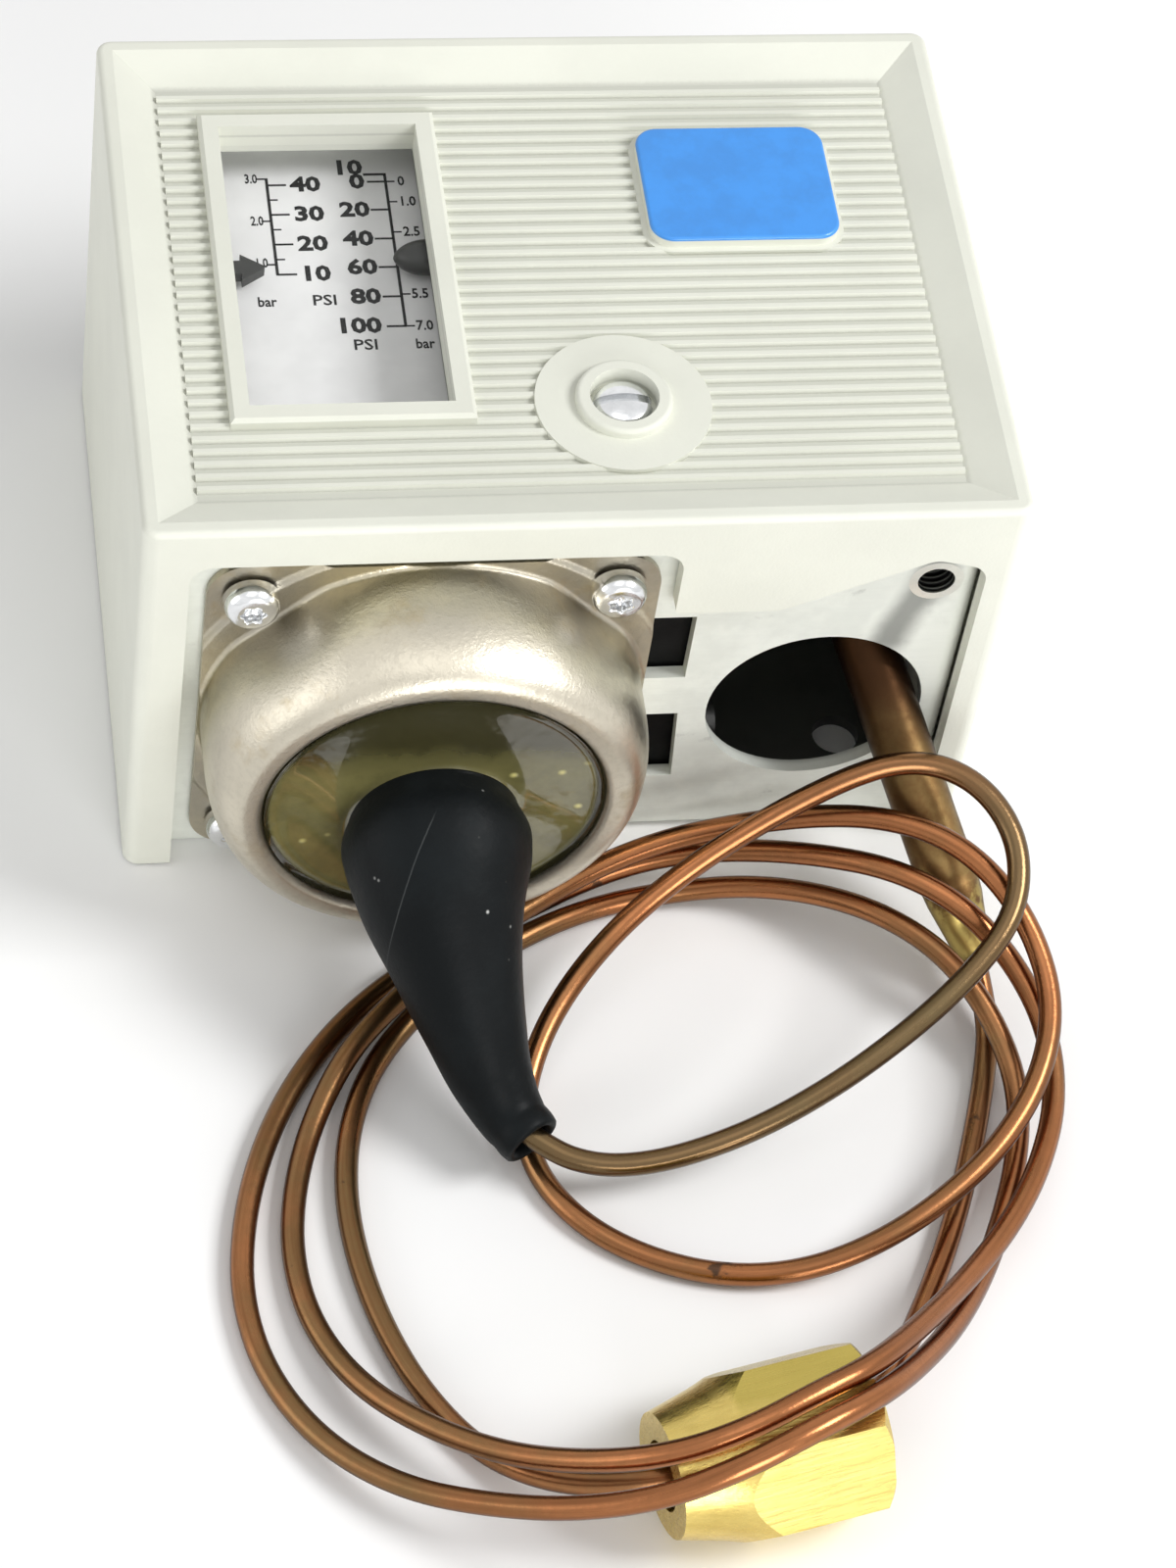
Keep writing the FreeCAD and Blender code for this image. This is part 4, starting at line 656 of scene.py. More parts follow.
class FinishSettings(PropertyGroup):
    cover: FloatVectorProperty(name="Cover", description="Cover plastic", subtype="COLOR", default=(0.78, 0.79, 0.70))
    badge: FloatVectorProperty(name="Badge", description="Blue badge", subtype="COLOR", default=(0.045, 0.29, 0.80))
    plate: FloatVectorProperty(name="Housing", description="Housing's nickel plate", subtype="COLOR",
                               default=(0.66, 0.612, 0.505))
    zinc: FloatVectorProperty(name="Zinc", description="Frame's zinc plate", subtype="COLOR",
                              default=(0.92, 0.95, 0.88))
    copper: FloatVectorProperty(name="Copper", description="Browned copper", subtype="COLOR",
                                default=(0.42, 0.168, 0.069))
    brass: FloatVectorProperty(name="Brass", description="Brass of the nut", subtype="COLOR",
                               default=(0.80, 0.62, 0.20))
    resin: FloatVectorProperty(name="Resin", description="Poured resin", subtype="COLOR",
                               default=(0.165, 0.15, 0.055))
    rubber: FloatVectorProperty(name="Rubber", description="Boot's rubber", subtype="COLOR",
                                default=(0.004, 0.0052, 0.0058))


class CapillarySettings(PropertyGroup):
    diameter: FloatProperty(name="Diameter", description="Outside diameter of the tube", unit="LENGTH", default=0.0024)
    resolution: IntProperty(name="Resolution", description="Steps between two points of the route", default=8)


class HousingSettings(PropertyGroup):
    side: FloatProperty(name="Flange side", description="Side of the square flange", unit="LENGTH", default=0.0452)
    cup: FloatProperty(name="Cup radius", description="Radius of the cup's wall", unit="LENGTH", default=0.0224)
    bead: FloatProperty(name="Bead", description="Height of the pressed ring on the flange", unit="LENGTH",
                        default=0.0005)


class StageSettings(PropertyGroup):
    floor: FloatVectorProperty(name="Floor", description="Floor colour", subtype="COLOR", default=(0.98, 0.98, 0.98))
    key: FloatProperty(name="Key light", description="Power of the large lamp", unit="POWER", default=6.1)
    fill: FloatProperty(name="Fill light", description="Power of the side lamp", unit="POWER", default=1.8)
    front: FloatProperty(name="Front light", description="Power of the low front lamp", unit="POWER", default=4.2)
    top: FloatProperty(name="Top light", description="Power of the lamp above", unit="POWER", default=0.9)
    sky: FloatProperty(name="Sky", description="Strength of the even light", default=0.41)


class ControlSettings(PropertyGroup):
    finish: PointerProperty(type=FinishSettings)
    capillary: PointerProperty(type=CapillarySettings)
    housing: PointerProperty(type=HousingSettings)
    stage: PointerProperty(type=StageSettings)


def settings():
    return bpy.context.scene.control_settings


def colour(name):
    """One of the settings' colours."""
    return tuple(getattr(settings().finish, name))


def shared(build, name, *values):
    """The finish of that name, made by the first piece that wears it."""
    return bpy.data.materials.get(name) or build(name, *values)


def pointer_plastic():
    return shared(plain_moulding, "pointer plastic", (0.03, 0.031, 0.028), (0.3, 0.42))


def spring_steel():
    return shared(plated_steel, "spring steel", (0.22, 0.22, 0.23), (0.4, 0.4, 0.41), (0.28, 0.4), 300.0)


def screw_zinc():
    return shared(plated_steel, "screw zinc", (0.66, 0.67, 0.68), (0.86, 0.87, 0.88), (0.12, 0.22), 260.0)


# ---- Pieces -----------------------------------------------------------------------------------


class PieceOperator:
    bl_options = {"REGISTER", "UNDO"}


class CONTROL_OT_stage(PieceOperator, Operator):
    """Floor, soft lamps, sky and the camera at the photograph's place"""

    bl_idname = "control.stage"
    bl_label = "Stage"

    def execute(self, context):
        values = settings().stage
        self.camera(context)
        self.floor(tuple(values.floor))
        self.sky(context, values.sky)
        self.lamp("key lamp", (0.64, -0.22, 0.74), 0.36, values.key)
        self.lamp("fill lamp", (-0.9, -0.1, 0.28), 0.6, values.fill)
        self.lamp("front lamp", (0.2, -0.95, 0.22), 0.5, values.front)
        self.lamp("top lamp", (-0.1, -0.25, 1.0), 0.6, values.top)
        return {"FINISHED"}

    def camera(self, context):
        lens = bpy.data.cameras.new("camera")
        lens.sensor_width = 36.0
        lens.lens = FOCAL_PIXELS / IMAGE_PIXELS * lens.sensor_width
        camera = bpy.data.objects.new("camera", lens)
        rise = CAMERA_BACK.cross(CAMERA_LEVEL)
        right = math.cos(CAMERA_ROLL) * CAMERA_LEVEL + math.sin(CAMERA_ROLL) * rise
        up = -math.sin(CAMERA_ROLL) * CAMERA_LEVEL + math.cos(CAMERA_ROLL) * rise
        turn = Matrix((right, up, CAMERA_BACK)).transposed()
        camera.matrix_world = Matrix.Translation(CAMERA_PLACE) @ turn.to_4x4()
        context.scene.collection.objects.link(camera)
        context.scene.camera = camera
        context.scene.view_settings.view_transform = "Standard"

    def floor(self, color):
        mesh = bpy.data.meshes.new("floor")
        half = 3.0
        corners = np.array([(-half, -half, 0.0), (half, -half, 0.0), (half, half, 0.0), (-half, half, 0.0)])
        mesh.from_pydata(corners.tolist(), [], [(0, 1, 2, 3)])
        floor = bpy.data.objects.new("floor", mesh)
        bpy.context.scene.collection.objects.link(floor)
        mesh.materials.append(floor_paint(color))

    def sky(self, context, strength):
        world = bpy.data.worlds.new("studio")
        world.use_nodes = True
        context.scene.world = world
        tree = world.node_tree
        sky = tree.nodes["Background"]
        sky.inputs["Color"].default_value = (1.0, 1.0, 1.0, 1.0)
        path = add(tree, "ShaderNodeLightPath")
        seen = add(tree, "ShaderNodeMath", {0: path.outputs["Is Camera Ray"], 1: path.outputs["Is Transmission Ray"]},
                   operation="MAXIMUM")
        white = add(tree, "ShaderNodeMath", {0: seen.outputs[0], 1: path.outputs["Is Glossy Ray"]}, operation="MAXIMUM")
        level = add(tree, "ShaderNodeMapRange", {"Value": white.outputs[0], "To Min": strength, "To Max": 1.0})
        tree.links.new(level.outputs["Result"], sky.inputs["Strength"])

    def lamp(self, name, place, size, power):
        light = bpy.data.lights.new(name, "AREA")
        light.shape = "SQUARE"
        light.size = size
        light.energy = power
        lamp = bpy.data.objects.new(name, light)
        lamp.location = place
        lamp.rotation_euler = (LAMPS_LOOK_AT - Vector(place)).to_track_quat("-Z", "Y").to_euler()
        bpy.context.scene.collection.objects.link(lamp)


class CONTROL_OT_capillary(PieceOperator, Operator):
    """One smooth spline of copper tube through the route's points"""

    bl_idname = "control.capillary"
    bl_label = "Capillary"

    def execute(self, context):
        values = settings().capillary
        curve = bpy.data.curves.new("capillary_tube", "CURVE")
        curve.dimensions = "3D"
        curve.bevel_depth = values.diameter / 2.0
        curve.bevel_resolution = 5
        curve.use_fill_caps = True
        spline = curve.splines.new("NURBS")
        spline.points.add(len(ROUTE) - 1)
        points = np.column_stack([np.array(ROUTE) * MM, np.ones(len(ROUTE))])
        spline.points.foreach_set("co", points.ravel())
        spline.order_u = 3
        spline.use_endpoint_u = True
        spline.resolution_u = values.resolution
        tube = bpy.data.objects.new("capillary_tube", curve)
        context.scene.collection.objects.link(tube)
        curve.materials.append(copper_tube(colour("copper")))
        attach(tube, "base")
        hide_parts("capillary")
        return {"FINISHED"}


class CONTROL_OT_stub_tube(PieceOperator, Operator):
    """The flared quarter-inch tube, crimped and soldered onto the capillary at its tip"""

    bl_idname = "control.stub_tube"
    bl_label = "Stub tube"

    def execute(self, context):
        way = STUB_IN_HOLE - STUB_TIP
        length = np.linalg.norm(way) + 11.0
        way = way / np.linalg.norm(way)
        wall, bore, solder_end, flare = 3.175, 2.28, 9.0, length - 1.8
        profile = np.concatenate([
            [(0.0, 0.0)], line((1.3, 0.0), (1.75, 0.5), 3), line((2.0, 1.0), (3.0, 6.5), 12),
            arc(wall - 0.495, 8.0, 0.495, -25, 0, 4), line((wall, solder_end), (wall, flare), 24),
            line((3.6, flare + 0.5), (4.5, length), 4), line((4.1, length), (2.3, flare), 3),
            line((bore, flare - 0.2), (bore, solder_end), 4), [(0.0, solder_end)],
        ])
        radius, height = profile[:, 0], profile[:, 1]
        turn = turns(72)
        pinch = bulge(height, 4.2, 1.5, 0.34) + bulge(height, 8.4, 1.1, 0.2)
        solid = smooth_step(radius, 1.0, 1.6)
        radii = radius[:, None] * (1.0 + (pinch * solid)[:, None] * (0.36 * np.cos(2.0 * turn)[None, :] - 0.3))
        grid = carried(STUB_TIP + height[:, None] * way, way, radii, across=(0.0, 0.0, 1.0), steps=72)
        piece = surface("stub_tube_crimped", [grid], "base",
                        stub_copper(colour("copper"), colour("brass")))
        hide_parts("stub_tube")
        return {"FINISHED"}


class CONTROL_OT_boot(PieceOperator, Operator):
    """Tapered rubber boot with a lip in the resin and an open, rolled tip round the tube"""

    bl_idname = "control.boot"
    bl_label = "Boot"

    def execute(self, context):
        path = smooth_path(BOOT, 90)
        centre, radius = path[:, :3], path[:, 3]
        way = np.gradient(centre, axis=0)
        along = np.linspace(0.0, 1.0, len(path))
        turn = turns(96)
        waves = 0.06 * np.sin(9.0 * along[:, None] + 3.0 * np.sin(turn)) * smooth_step(along, 0.1, 0.4)[:, None]
        roll, groove = bulge(along, 0.98, 0.015, 0.06), bulge(along, 0.945, 0.012, -0.09)
        radii = radius[:, None] + waves * radius[:, None] / 9.0 + (roll + groove)[:, None]
        outer = carried(centre, way, radii, steps=96)
        tip, tip_way, edge = centre[-1], way[-1] / np.linalg.norm(way[-1]), radii[-1]
        rim = edge.mean()
        bore = np.array([(0.2, rim - 0.2), (0.28, rim - 0.5), (0.12, rim - 0.85), (-0.5, 2.1), (-4.0, 2.0),
                         (-4.0, 0.0)])
        inner = carried(tip + bore[:, :1] * tip_way, tip_way, bore[:, 1], steps=96)
        base = carried(centre[:1], way[:1], np.array([0.0]), steps=96)
        piece = surface("boot_rubber", [np.concatenate([base, outer, inner])], "base",
                        boot_rubber(colour("rubber")), sharp=60.0)
        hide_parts("boot")
        return {"FINISHED"}


class CONTROL_OT_potting(PieceOperator, Operator):
    """Resin between the pit's wall and the boot: its surface climbs both in a narrow meniscus"""

    bl_idname = "control.potting"
    bl_label = "Potting"

    def execute(self, context):
        turn = turns(144)
        share = np.linspace(0.0, 1.0, 40)[:, None]
        ring = np.stack([np.cos(turn), np.sin(turn)], axis=-1)
        inner = (BOOT_ROOT_X, BOOT_ROOT_Z) + 8.6 * ring
        outer = (HOUSING_X, HOUSING_Z) + 17.05 * ring
        flat = (1.0 - share[:, :, None]) * inner[None] + share[:, :, None] * outer[None]
        gap = np.linalg.norm(outer - inner, axis=-1)[None, :]
        from_boot, from_wall = share * gap, (1.0 - share) * gap
        wave = 0.07 * np.sin(3.0 * turn + 1.0)[None, :] * np.sin(math.pi * share)
        rise = 0.22 * np.exp(-from_boot / 0.3) + 0.7 * np.exp(-from_wall / 0.7) + wave
        level, bottom = -44.45, -43.2
        top = np.stack([flat[..., 0], level - rise, flat[..., 1]], axis=-1)
        low = np.stack([flat[..., 0], np.full(rise.shape, bottom), flat[..., 1]], axis=-1)[[-1, 0]]
        piece = surface("potting_resin", [np.concatenate([top, low])], "base", poured_resin(colour("resin")),
                        close_rows=True, sharp=60.0)
        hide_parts("potting")
        return {"FINISHED"}


class CONTROL_OT_housing(PieceOperator, Operator):
    """Pressed flange and doughnut cup: a profile of radius and height turned about Y, whose outer
    rings follow the flange's rounded square instead of a circle"""

    bl_idname = "control.housing"
    bl_label = "Bellows housing"

    def execute(self, context):
        values = settings().housing
        half, cup, bead = values.side / 2 / MM, values.cup / MM, values.bead / MM
        corner = 4.5
        turn = turns(360)
        square = self.square(turn, half, corner)
        inside = np.concatenate([
            line((0.0, 11.9), (16.2, 11.9), 8), arc(16.2, 12.7, 0.8, -90, 0, 6), line((17.05, 13.2), (17.25, 13.6), 2),
            arc(18.2, 13.55, 0.95, 180, 90, 8), line((18.6, 14.5), (18.9, 14.5), 2), self.shoulder(cup),
            line((cup, 6.8), (cup, 1.9), 8), arc(cup + 0.6, 1.9, 0.6, 180, 270, 6),
        ])
        reach = np.linspace(0.05, 1.0, 26)[:, None]
        flat = (cup + 0.6) + reach * (square[None, :] - cup - 0.6)
        flat = np.where(square[None, :] > cup + 0.6, flat, square[None, :])
        corners = math.pi / 4 - self.fold(turn)
        scoop = 1.0 - smooth_step(corners * cup, 0.6, 7.0)
        lowered = 1.0 - smooth_step(inside[:, 1], 3.0, 14.0)
        outer = smooth_step(inside[:, 0], cup - 3.0, cup - 0.2)
        dent = 0.75 * scoop[None, :] * (lowered * outer)[:, None]
        cup_radii = np.minimum(np.repeat(inside[:, :1], len(turn), axis=1) - dent, square[None, :])
        cup_heights = np.repeat(inside[:, 1:], len(turn), axis=1)
        heights = 1.3 - bead + bead * (1.0 - smooth_step(flat, 24.9, 25.5))
        edge_r = np.array([0.0, 0.0, -0.05, -1.0])[:, None] + square[None, :]
        edge_h = np.repeat(np.array([0.5, 0.2, 0.02, 0.0])[:, None], len(turn), axis=1)
        behind = np.array([(cup - 1.1, 0.0), (cup - 1.1, 7.0), (19.6, 12.5), (18.4, 13.0), (18.2, 10.9), (0.0, 10.9)])
        back_r = np.repeat(behind[:, :1], len(turn), axis=1)
        back_h = np.repeat(behind[:, 1:], len(turn), axis=1)
        radii = np.concatenate([cup_radii, flat, edge_r, back_r])
        rise = np.concatenate([cup_heights, heights, edge_h, back_h])
        grid = np.stack([HOUSING_X + radii * np.cos(turn), WALL_Y - rise, HOUSING_Z + radii * np.sin(turn)], axis=-1)
        piece = surface("housing_shell", [grid], "base", housing_plate(colour("plate")), sharp=50.0)
        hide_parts("bellows_housing")
        return {"FINISHED"}

    def fold(self, turn):
        """Angle from the nearest side's middle, 0 to an eighth of a turn."""
        return np.abs((turn + math.pi / 4) % (math.pi / 2) - math.pi / 4)

    def square(self, turn, half, corner):
        """Distance from the middle to a rounded square's edge, in each direction."""
        fold = self.fold(turn)
        straight = half / np.cos(fold)
        middle = (half - corner) * (np.cos(fold) + np.sin(fold))
        rounded = middle + np.sqrt(np.maximum(middle**2 - 2 * (half - corner) ** 2 + corner**2, 0.0))
        return np.where(half * np.tan(fold) <= half - corner, straight, rounded)

    def shoulder(self, cup):
        """Quarter of an ellipse from the crest down to the cup's wall."""
        turn = np.radians(np.linspace(90, 0, 26)[1:])
        return np.stack([18.9 + (cup - 18.9) * np.cos(turn), 7.0 + 7.5 * np.sin(turn)], axis=1)


class CONTROL_OT_housing_screws(PieceOperator, Operator):
    """Pan heads with a six-lobed recess: rings whose recess radius is 1 + 0.13 cos(6 turn) times its size"""

    bl_idname = "control.housing_screws"
    bl_label = "Housing screws"

    def execute(self, context):
        turn = turns(72)
        plain = np.ones(len(turn))
        star = 1.15 * (1.0 + 0.13 * np.cos(6.0 * turn))
        seat, crown, spacing = WALL_Y - 1.2, WALL_Y - 3.5, 18.2
        recess = [(0.0, crown + 1.2, plain), (0.8, crown + 1.15, star), (0.97, crown + 1.0, star),
                  (1.0, crown + 0.08, star), (1.06, crown, star)]
        lean = np.linspace(0.0, math.pi / 2, 9)
        profile = np.concatenate([
            line((1.5, crown - 0.02), (1.75, crown + 0.03), 3),
            np.stack([1.75 + 1.05 * np.sin(lean), seat - 0.7 - 1.57 * np.cos(lean)], axis=1),
            [(2.8, seat), (1.5, seat), (1.5, seat + 5.8), (0.0, seat + 6.0)],
        ])
        radii = np.array([size * shape for size, _, shape in recess] + [r * plain for r in profile[:, 0]])
        heights = np.concatenate([[height for _, height, _ in recess], profile[:, 1]])
        grids = []
        for (a, b), twist in zip(((-1, -1), (-1, 1), (1, -1), (1, 1)), (0.3, 1.1, 2.0, 0.7)):
            x, z = HOUSING_X + a * spacing, HOUSING_Z + b * spacing
            grids.append(np.stack([x + radii * np.cos(turn + twist), heights[:, None] * plain,
                                   z + radii * np.sin(turn + twist)], axis=-1))
        piece = surface("housing_screw_set", grids, "base", screw_zinc(), sharp=40.0)
        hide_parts("housing_screws")
        return {"FINISHED"}


class CONTROL_OT_cover_screw(PieceOperator, Operator):
    """Domed slotted head: rows across the slot, each a loop over the top and back under the head. The top falls by
    0.8 times the squared share of the radius, and more at the rim; the rows inside the slot lie a slot's depth lower"""

    bl_idname = "control.cover_screw"
    bl_label = "Cover screw"

    def execute(self, context):
        low, high = np.array(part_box("cover_screw")) / MM
        middle, top, radius = (low + high)[:2] / 2.0, high[2], (high[0] - low[0]) / 2.0
        half_slot, slot_depth, head, shank = 0.48, 1.0, 2.0, 2.0
        steps = 61
        rows = radius * np.sin(np.linspace(-math.pi / 2, math.pi / 2, steps))
        edges = np.array([half_slot + 0.02, half_slot, half_slot - 0.02])
        rows = np.sort(np.concatenate([rows[np.abs(rows) > half_slot + 0.05], -edges, edges, [0.0]]))
        reach = np.sqrt(np.maximum(radius**2 - rows**2, 0.0))[:, None] * np.linspace(-1.0, 1.0, steps)
        across = np.repeat(rows[:, None], steps, axis=1)
        share = np.clip(np.hypot(reach, across) / radius, 0.0, 1.0)
        crown = top - 0.8 * share**2 - 0.5 * smooth_step(share, 0.8, 1.0) ** 2
        crown = crown - slot_depth * (np.abs(across) < half_slot - 0.005)
        crown = np.maximum(crown, top - head + 0.1)
        under = np.full(crown.shape, top - head)
        x = np.concatenate([reach, reach[:, ::-1]], axis=1) + middle[0]
        y = np.concatenate([across, across], axis=1) + middle[1]
        head_grid = np.stack([x, y, np.concatenate([crown, under], axis=1)], axis=-1)
        neck, bevel = top - head - 0.02, 0.4
        centres = [(*middle, height) for height in (neck, neck, low[2] + bevel, low[2], low[2])]
        shank_grid = carried(centres, (0.0, 0.0, 1.0), np.array([0.0, shank, shank, shank - bevel, 0.0]), steps=48)
        piece = surface("cover_screw_domed", [head_grid, shank_grid], "cover", screw_zinc(), sharp=40.0)
        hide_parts("cover_screw")
        return {"FINISHED"}


class CONTROL_OT_springs(PieceOperator, Operator):
    """Two compression springs between the lever and the nuts: a wire carried along a helix whose pitch is closed in
    the first and last turn and even between"""

    bl_idname = "control.springs"
    bl_label = "Springs"

    def execute(self, context):
        for node, carriage, wire, coils in (("range_spring", "range_carriage", 1.3, 6.0),
                                            ("diff_spring", "diff_carriage", 0.9, 7.0)):
            low, high = np.array(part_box(node)) / MM
            x, z = (low[0] + high[0]) / 2.0, (low[2] + high[2]) / 2.0
            mean = (high[0] - low[0] - wire) / 2.0
            coil = np.linspace(0.0, coils, int(40 * coils))
            opened = np.cumsum(smooth_step(coil, 0.5, 1.3) * (1.0 - smooth_step(coil, coils - 1.3, coils - 0.5)))
            closed_pitch, length = 1.02 * wire, high[1] - low[1] - wire
            rise = closed_pitch * coil + (length - closed_pitch * coils) * opened / opened[-1]
            turn = 2.0 * math.pi * coil
            out = np.stack([np.cos(turn), np.zeros(len(turn)), np.sin(turn)], axis=-1)
            helix = mean * out + rise[:, None] * np.array((0.0, 1.0, 0.0))
            centre = helix + (x, low[1] + wire / 2.0, z)
            centre[0], centre[-1] = centre[1], centre[-2]
            radii = np.full(len(turn), wire / 2.0)
            radii[[0, -1]] = 0.0
            grid = carried(centre, np.gradient(helix, axis=0), radii, across=out, steps=20)
            piece = surface(node + "_coil", [grid], None, spring_steel(), sharp=60.0)
            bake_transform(piece)
            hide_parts(node)
        return {"FINISHED"}


class CONTROL_OT_pointer_cap(PieceOperator, Operator):
    """Dark teardrop over the range pointer's needle: its radius grows from the tip as 1 - (1 - s)^2 to the power
    0.62, s being the share of its length, and it is a little wider than deep"""

    bl_idname = "control.pointer_cap"
    bl_label = "Pointer cap"

    def execute(self, context):
        low, high = np.array(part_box("range_pointer")) / MM
        tip, axis_y, axis_z = low[0] - 0.1, (low[1] + high[1]) / 2.0, high[2] - (high[1] - low[1]) / 2.0
        share = np.linspace(0.0, 1.0, 30) ** 1.5
        radius = (1.0 - (1.0 - share) ** 2) ** 0.62
        along = np.concatenate([tip + 3.4 * share, [tip + 5.4, tip + 5.4]])
        radius = np.concatenate([radius, [1.0, 0.0]])
        turn = turns(64)
        ring = np.stack([np.zeros(64), 2.0 * np.cos(turn), 1.74 * np.sin(turn)], axis=-1)
        grid = radius[:, None, None] * ring[None]
        grid[..., 0] += along[:, None]
        grid[..., 1] += axis_y
        grid[..., 2] += axis_z
        surface("pointer_cap", [grid], "range_carriage", pointer_plastic(), sharp=40.0)
        return {"FINISHED"}


class CONTROL_OT_dial_print(PieceOperator, Operator):
    """The two scales' lines, ticks and numbers as thin raised ink on the white plate"""

    bl_idname = "control.dial_print"
    bl_label = "Dial print"

    def execute(self, context):
        ink = printed_ink()
        bars = [(-26.95, -26.65, 8.1, 21.8), (-14.5, -14.2, 0.7, 22.3), (-16.6, -14.3, 22.0, 22.3)]
        for left, right, half, places in (
                (-26.8, -24.8, 0.12, (20.8, 16.6, 12.4, 8.2)), (-26.8, -25.85, 0.09, (18.7, 14.5, 10.3)),
                (-27.8, -26.8, 0.1, (21.7, 15.7, 9.6)), (-16.3, -14.3, 0.12, (21.1, 17.1, 13.0, 9.0, 4.9, 0.8)),
                (-14.3, -13.4, 0.09, (21.1, 18.2, 13.9, 5.2, 0.8))):
            bars += [(left, right, y - half, y + half) for y in places]
        bars = np.array(bars)
        x, y = bars[:, [0, 1, 1, 0]], bars[:, [2, 2, 3, 3]]
        corners = np.concatenate([np.stack([x, y, np.full(x.shape, PLATE_TOP + rise)], axis=-1)
                                  for rise in (0.0, 2 * INK_HALF)], axis=1)
        faces = np.array([(0, 3, 2, 1), (4, 5, 6, 7), (0, 1, 5, 4), (1, 2, 6, 5), (2, 3, 7, 6), (3, 0, 4, 7)])
        index = faces[None] + 8 * np.arange(len(bars))[:, None, None]
        put("dial_lines", corners.reshape(-1, 3) * MM, index.reshape(-1, 4), "base", ink)
        large = [("40", -24.35, 20.8), ("30", -24.35, 16.6), ("20", -24.35, 12.4), ("10", -24.45, 8.2),
                 ("10", -19.75, 23.1), ("0", -18.15, 21.1), ("20", -19.55, 17.1), ("40", -19.55, 13.0),
                 ("60", -19.55, 9.0), ("80", -19.6, 4.9), ("100", -21.5, 0.9)]
        units = [("PSI", -23.6, 4.5), ("PSI", -20.0, -1.7)]
        right = [("0", -13.1, 21.1), ("1.0", -13.25, 18.2), ("2.5", -13.25, 13.9), ("5.5", -13.3, 5.2),
                 ("7.0", -13.3, 0.8), ("bar", -13.6, -1.7), ("bar", -29.2, 4.4)]
        left = [("3.0", -29.1, 21.7), ("2.0", -28.95, 15.7), ("1.0", -29.0, 9.8)]
        self.words("dial_numbers", large, 2.02, 0.10, 1.12, ink)
        self.words("dial_units", units, 1.45, 0.02, 1.08, ink)
        self.words("dial_right_numbers", right, 1.34, 0.03, 0.8, ink)
        self.words("dial_left_numbers", left, 1.3, 0.03, 0.62, ink)
        return {"FINISHED"}

    def words(self, name, places, size, weight, width, ink):
        """One mesh of short words, each from a thin text curve widened by a factor."""
        scene = bpy.context.scene
        work = bmesh.new()
        for text, x, y in places:
            curve = bpy.data.curves.new(name, "FONT")
            curve.body = text
            curve.size = size * 1.38 * MM
            curve.offset = weight * MM
            curve.extrude = INK_HALF * MM
            curve.resolution_u = 2
            curve.align_y = "CENTER"
            word = bpy.data.objects.new(name, curve)
            scene.collection.objects.link(word)
            bpy.context.view_layer.update()
            mesh = bpy.data.meshes.new_from_object(word.evaluated_get(bpy.context.evaluated_depsgraph_get()))
            place = Matrix.Translation((x * MM, y * MM, (PLATE_TOP + INK_HALF) * MM))
            mesh.transform(place @ Matrix.Diagonal((width, 1.0, 1.0, 1.0)))
            work.from_mesh(mesh)
            bpy.data.objects.remove(word)
            bpy.data.curves.remove(curve)
            bpy.data.meshes.remove(mesh)
        bmesh.ops.remove_doubles(work, verts=work.verts, dist=1e-6)
        bmesh.ops.recalc_face_normals(work, faces=work.faces)
        mesh = bpy.data.meshes.new(name)
        work.to_mesh(mesh)
        work.free()
        piece = bpy.data.objects.new(name, mesh)
        scene.collection.objects.link(piece)
        mesh.materials.append(ink)
        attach(piece, "base")


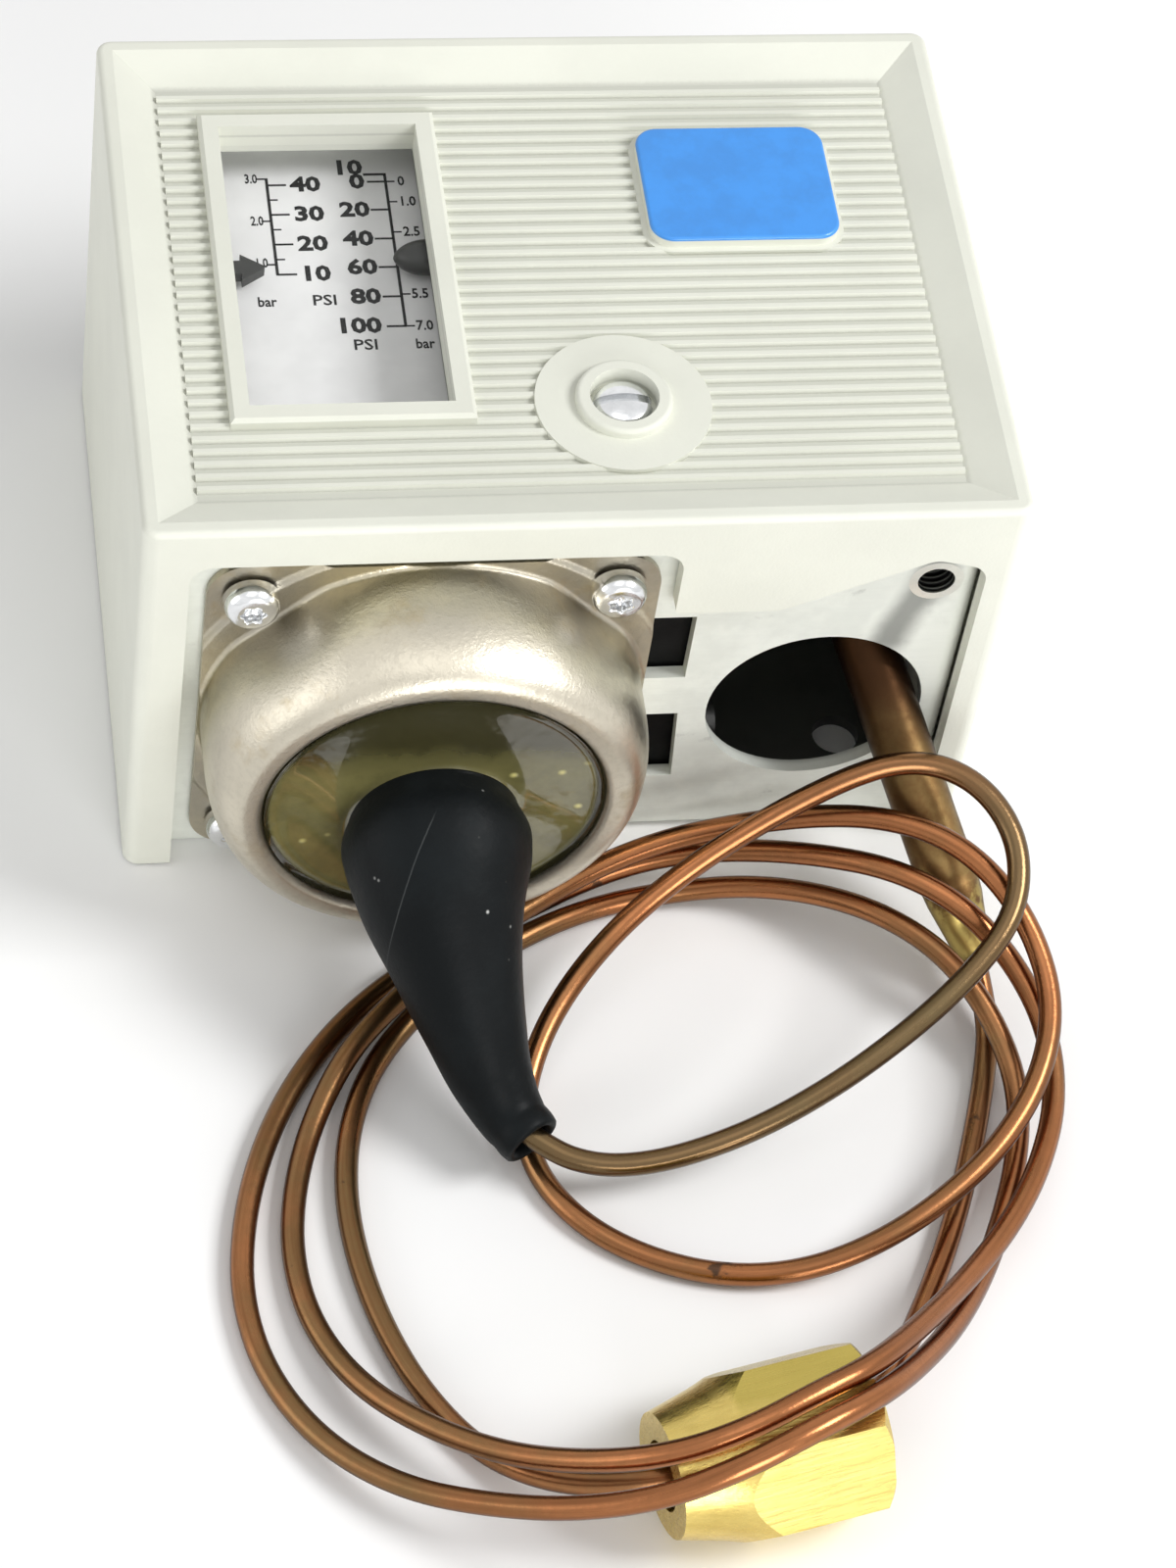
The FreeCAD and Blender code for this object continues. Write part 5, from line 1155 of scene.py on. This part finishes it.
class CONTROL_OT_finishes(PieceOperator, Operator):
    """Gives each CAD piece that stays its own procedural finish"""

    bl_idname = "control.finishes"
    bl_label = "Finishes"

    def execute(self, context):
        zinc = colour("zinc")
        steel = frame_zinc(zinc)
        small = screw_zinc()
        spring = spring_steel()
        # Painted shade: the terminal screws inside the frame get near-black steel, as they lie in shade behind the
        # conduit hole.
        dull = plated_steel("dull steel", (0.05, 0.05, 0.05), (0.11, 0.11, 0.105), (0.4, 0.5), 260.0)
        black = plain_moulding("black phenolic", (0.003, 0.003, 0.003), (0.35, 0.5), gloss=0.1)
        pointer = pointer_plastic()
        nylon = plain_moulding("white nylon", (0.78, 0.77, 0.72))
        brass = nut_brass(colour("brass"), "plain brass", False)
        given = {
            "cover": cover_plastic(colour("cover")), "window_lens": window_plastic(),
            "cover_badge": badge_plastic(colour("badge"), colour("cover")), "frame": steel, "bellows": brass,
            "push_rod": small, "main_lever": steel, "lever_bracket": steel, "lever_pin": small, "range_screw": small,
            "range_clip": spring, "range_nut": nylon, "range_pointer": pointer, "diff_screw": small,
            "diff_clip": spring, "diff_nut": nylon, "diff_pointer": pointer, "dial_bracket": steel,
            "scale_plate": plain_moulding("scale white", (0.99, 0.99, 0.99), (0.45, 0.55)), "switch_body": black,
            "switch_plunger": nylon, "terminal_plates": brass, "terminal_screws": dull, "ground_screw": brass,
            "flare_nut": nut_brass(colour("brass")), "earth_bush": threaded_zinc(zinc),
        }
        for name, material in given.items():
            mesh = NODES[name].data
            mesh.materials.clear()
            mesh.materials.append(material)
        return {"FINISHED"}


ORDER = (CONTROL_OT_stage, CONTROL_OT_stub_tube, CONTROL_OT_capillary, CONTROL_OT_boot, CONTROL_OT_potting,
         CONTROL_OT_housing, CONTROL_OT_housing_screws, CONTROL_OT_cover_screw, CONTROL_OT_springs,
         CONTROL_OT_pointer_cap, CONTROL_OT_dial_print, CONTROL_OT_finishes)


class CONTROL_PT_panel(Panel):
    """Lists the pieces' operators and the settings they read"""

    bl_idname = "CONTROL_PT_panel"
    bl_label = "Pressure control"
    bl_space_type = "VIEW_3D"
    bl_region_type = "UI"
    bl_category = "Control"

    def draw(self, context):
        values = context.scene.control_settings
        for part in (values.finish, values.capillary, values.housing, values.stage):
            box = self.layout.box()
            for name in part.__annotations__:
                box.prop(part, name)
        for operator in ORDER:
            self.layout.operator(operator.bl_idname)


CLASSES = (FinishSettings, CapillarySettings, HousingSettings, StageSettings, ControlSettings, *ORDER,
           CONTROL_PT_panel)


def register():
    for item in CLASSES:
        bpy.utils.register_class(item)
    bpy.types.Scene.control_settings = PointerProperty(type=ControlSettings)


def unregister():
    del bpy.types.Scene.control_settings
    for item in reversed(CLASSES):
        bpy.utils.unregister_class(item)


def main():
    register()
    for operator in ORDER:
        getattr(bpy.ops.control, operator.bl_idname.split(".")[1])()
    bpy.context.view_layer.update()


if __name__ == "__main__":
    main()
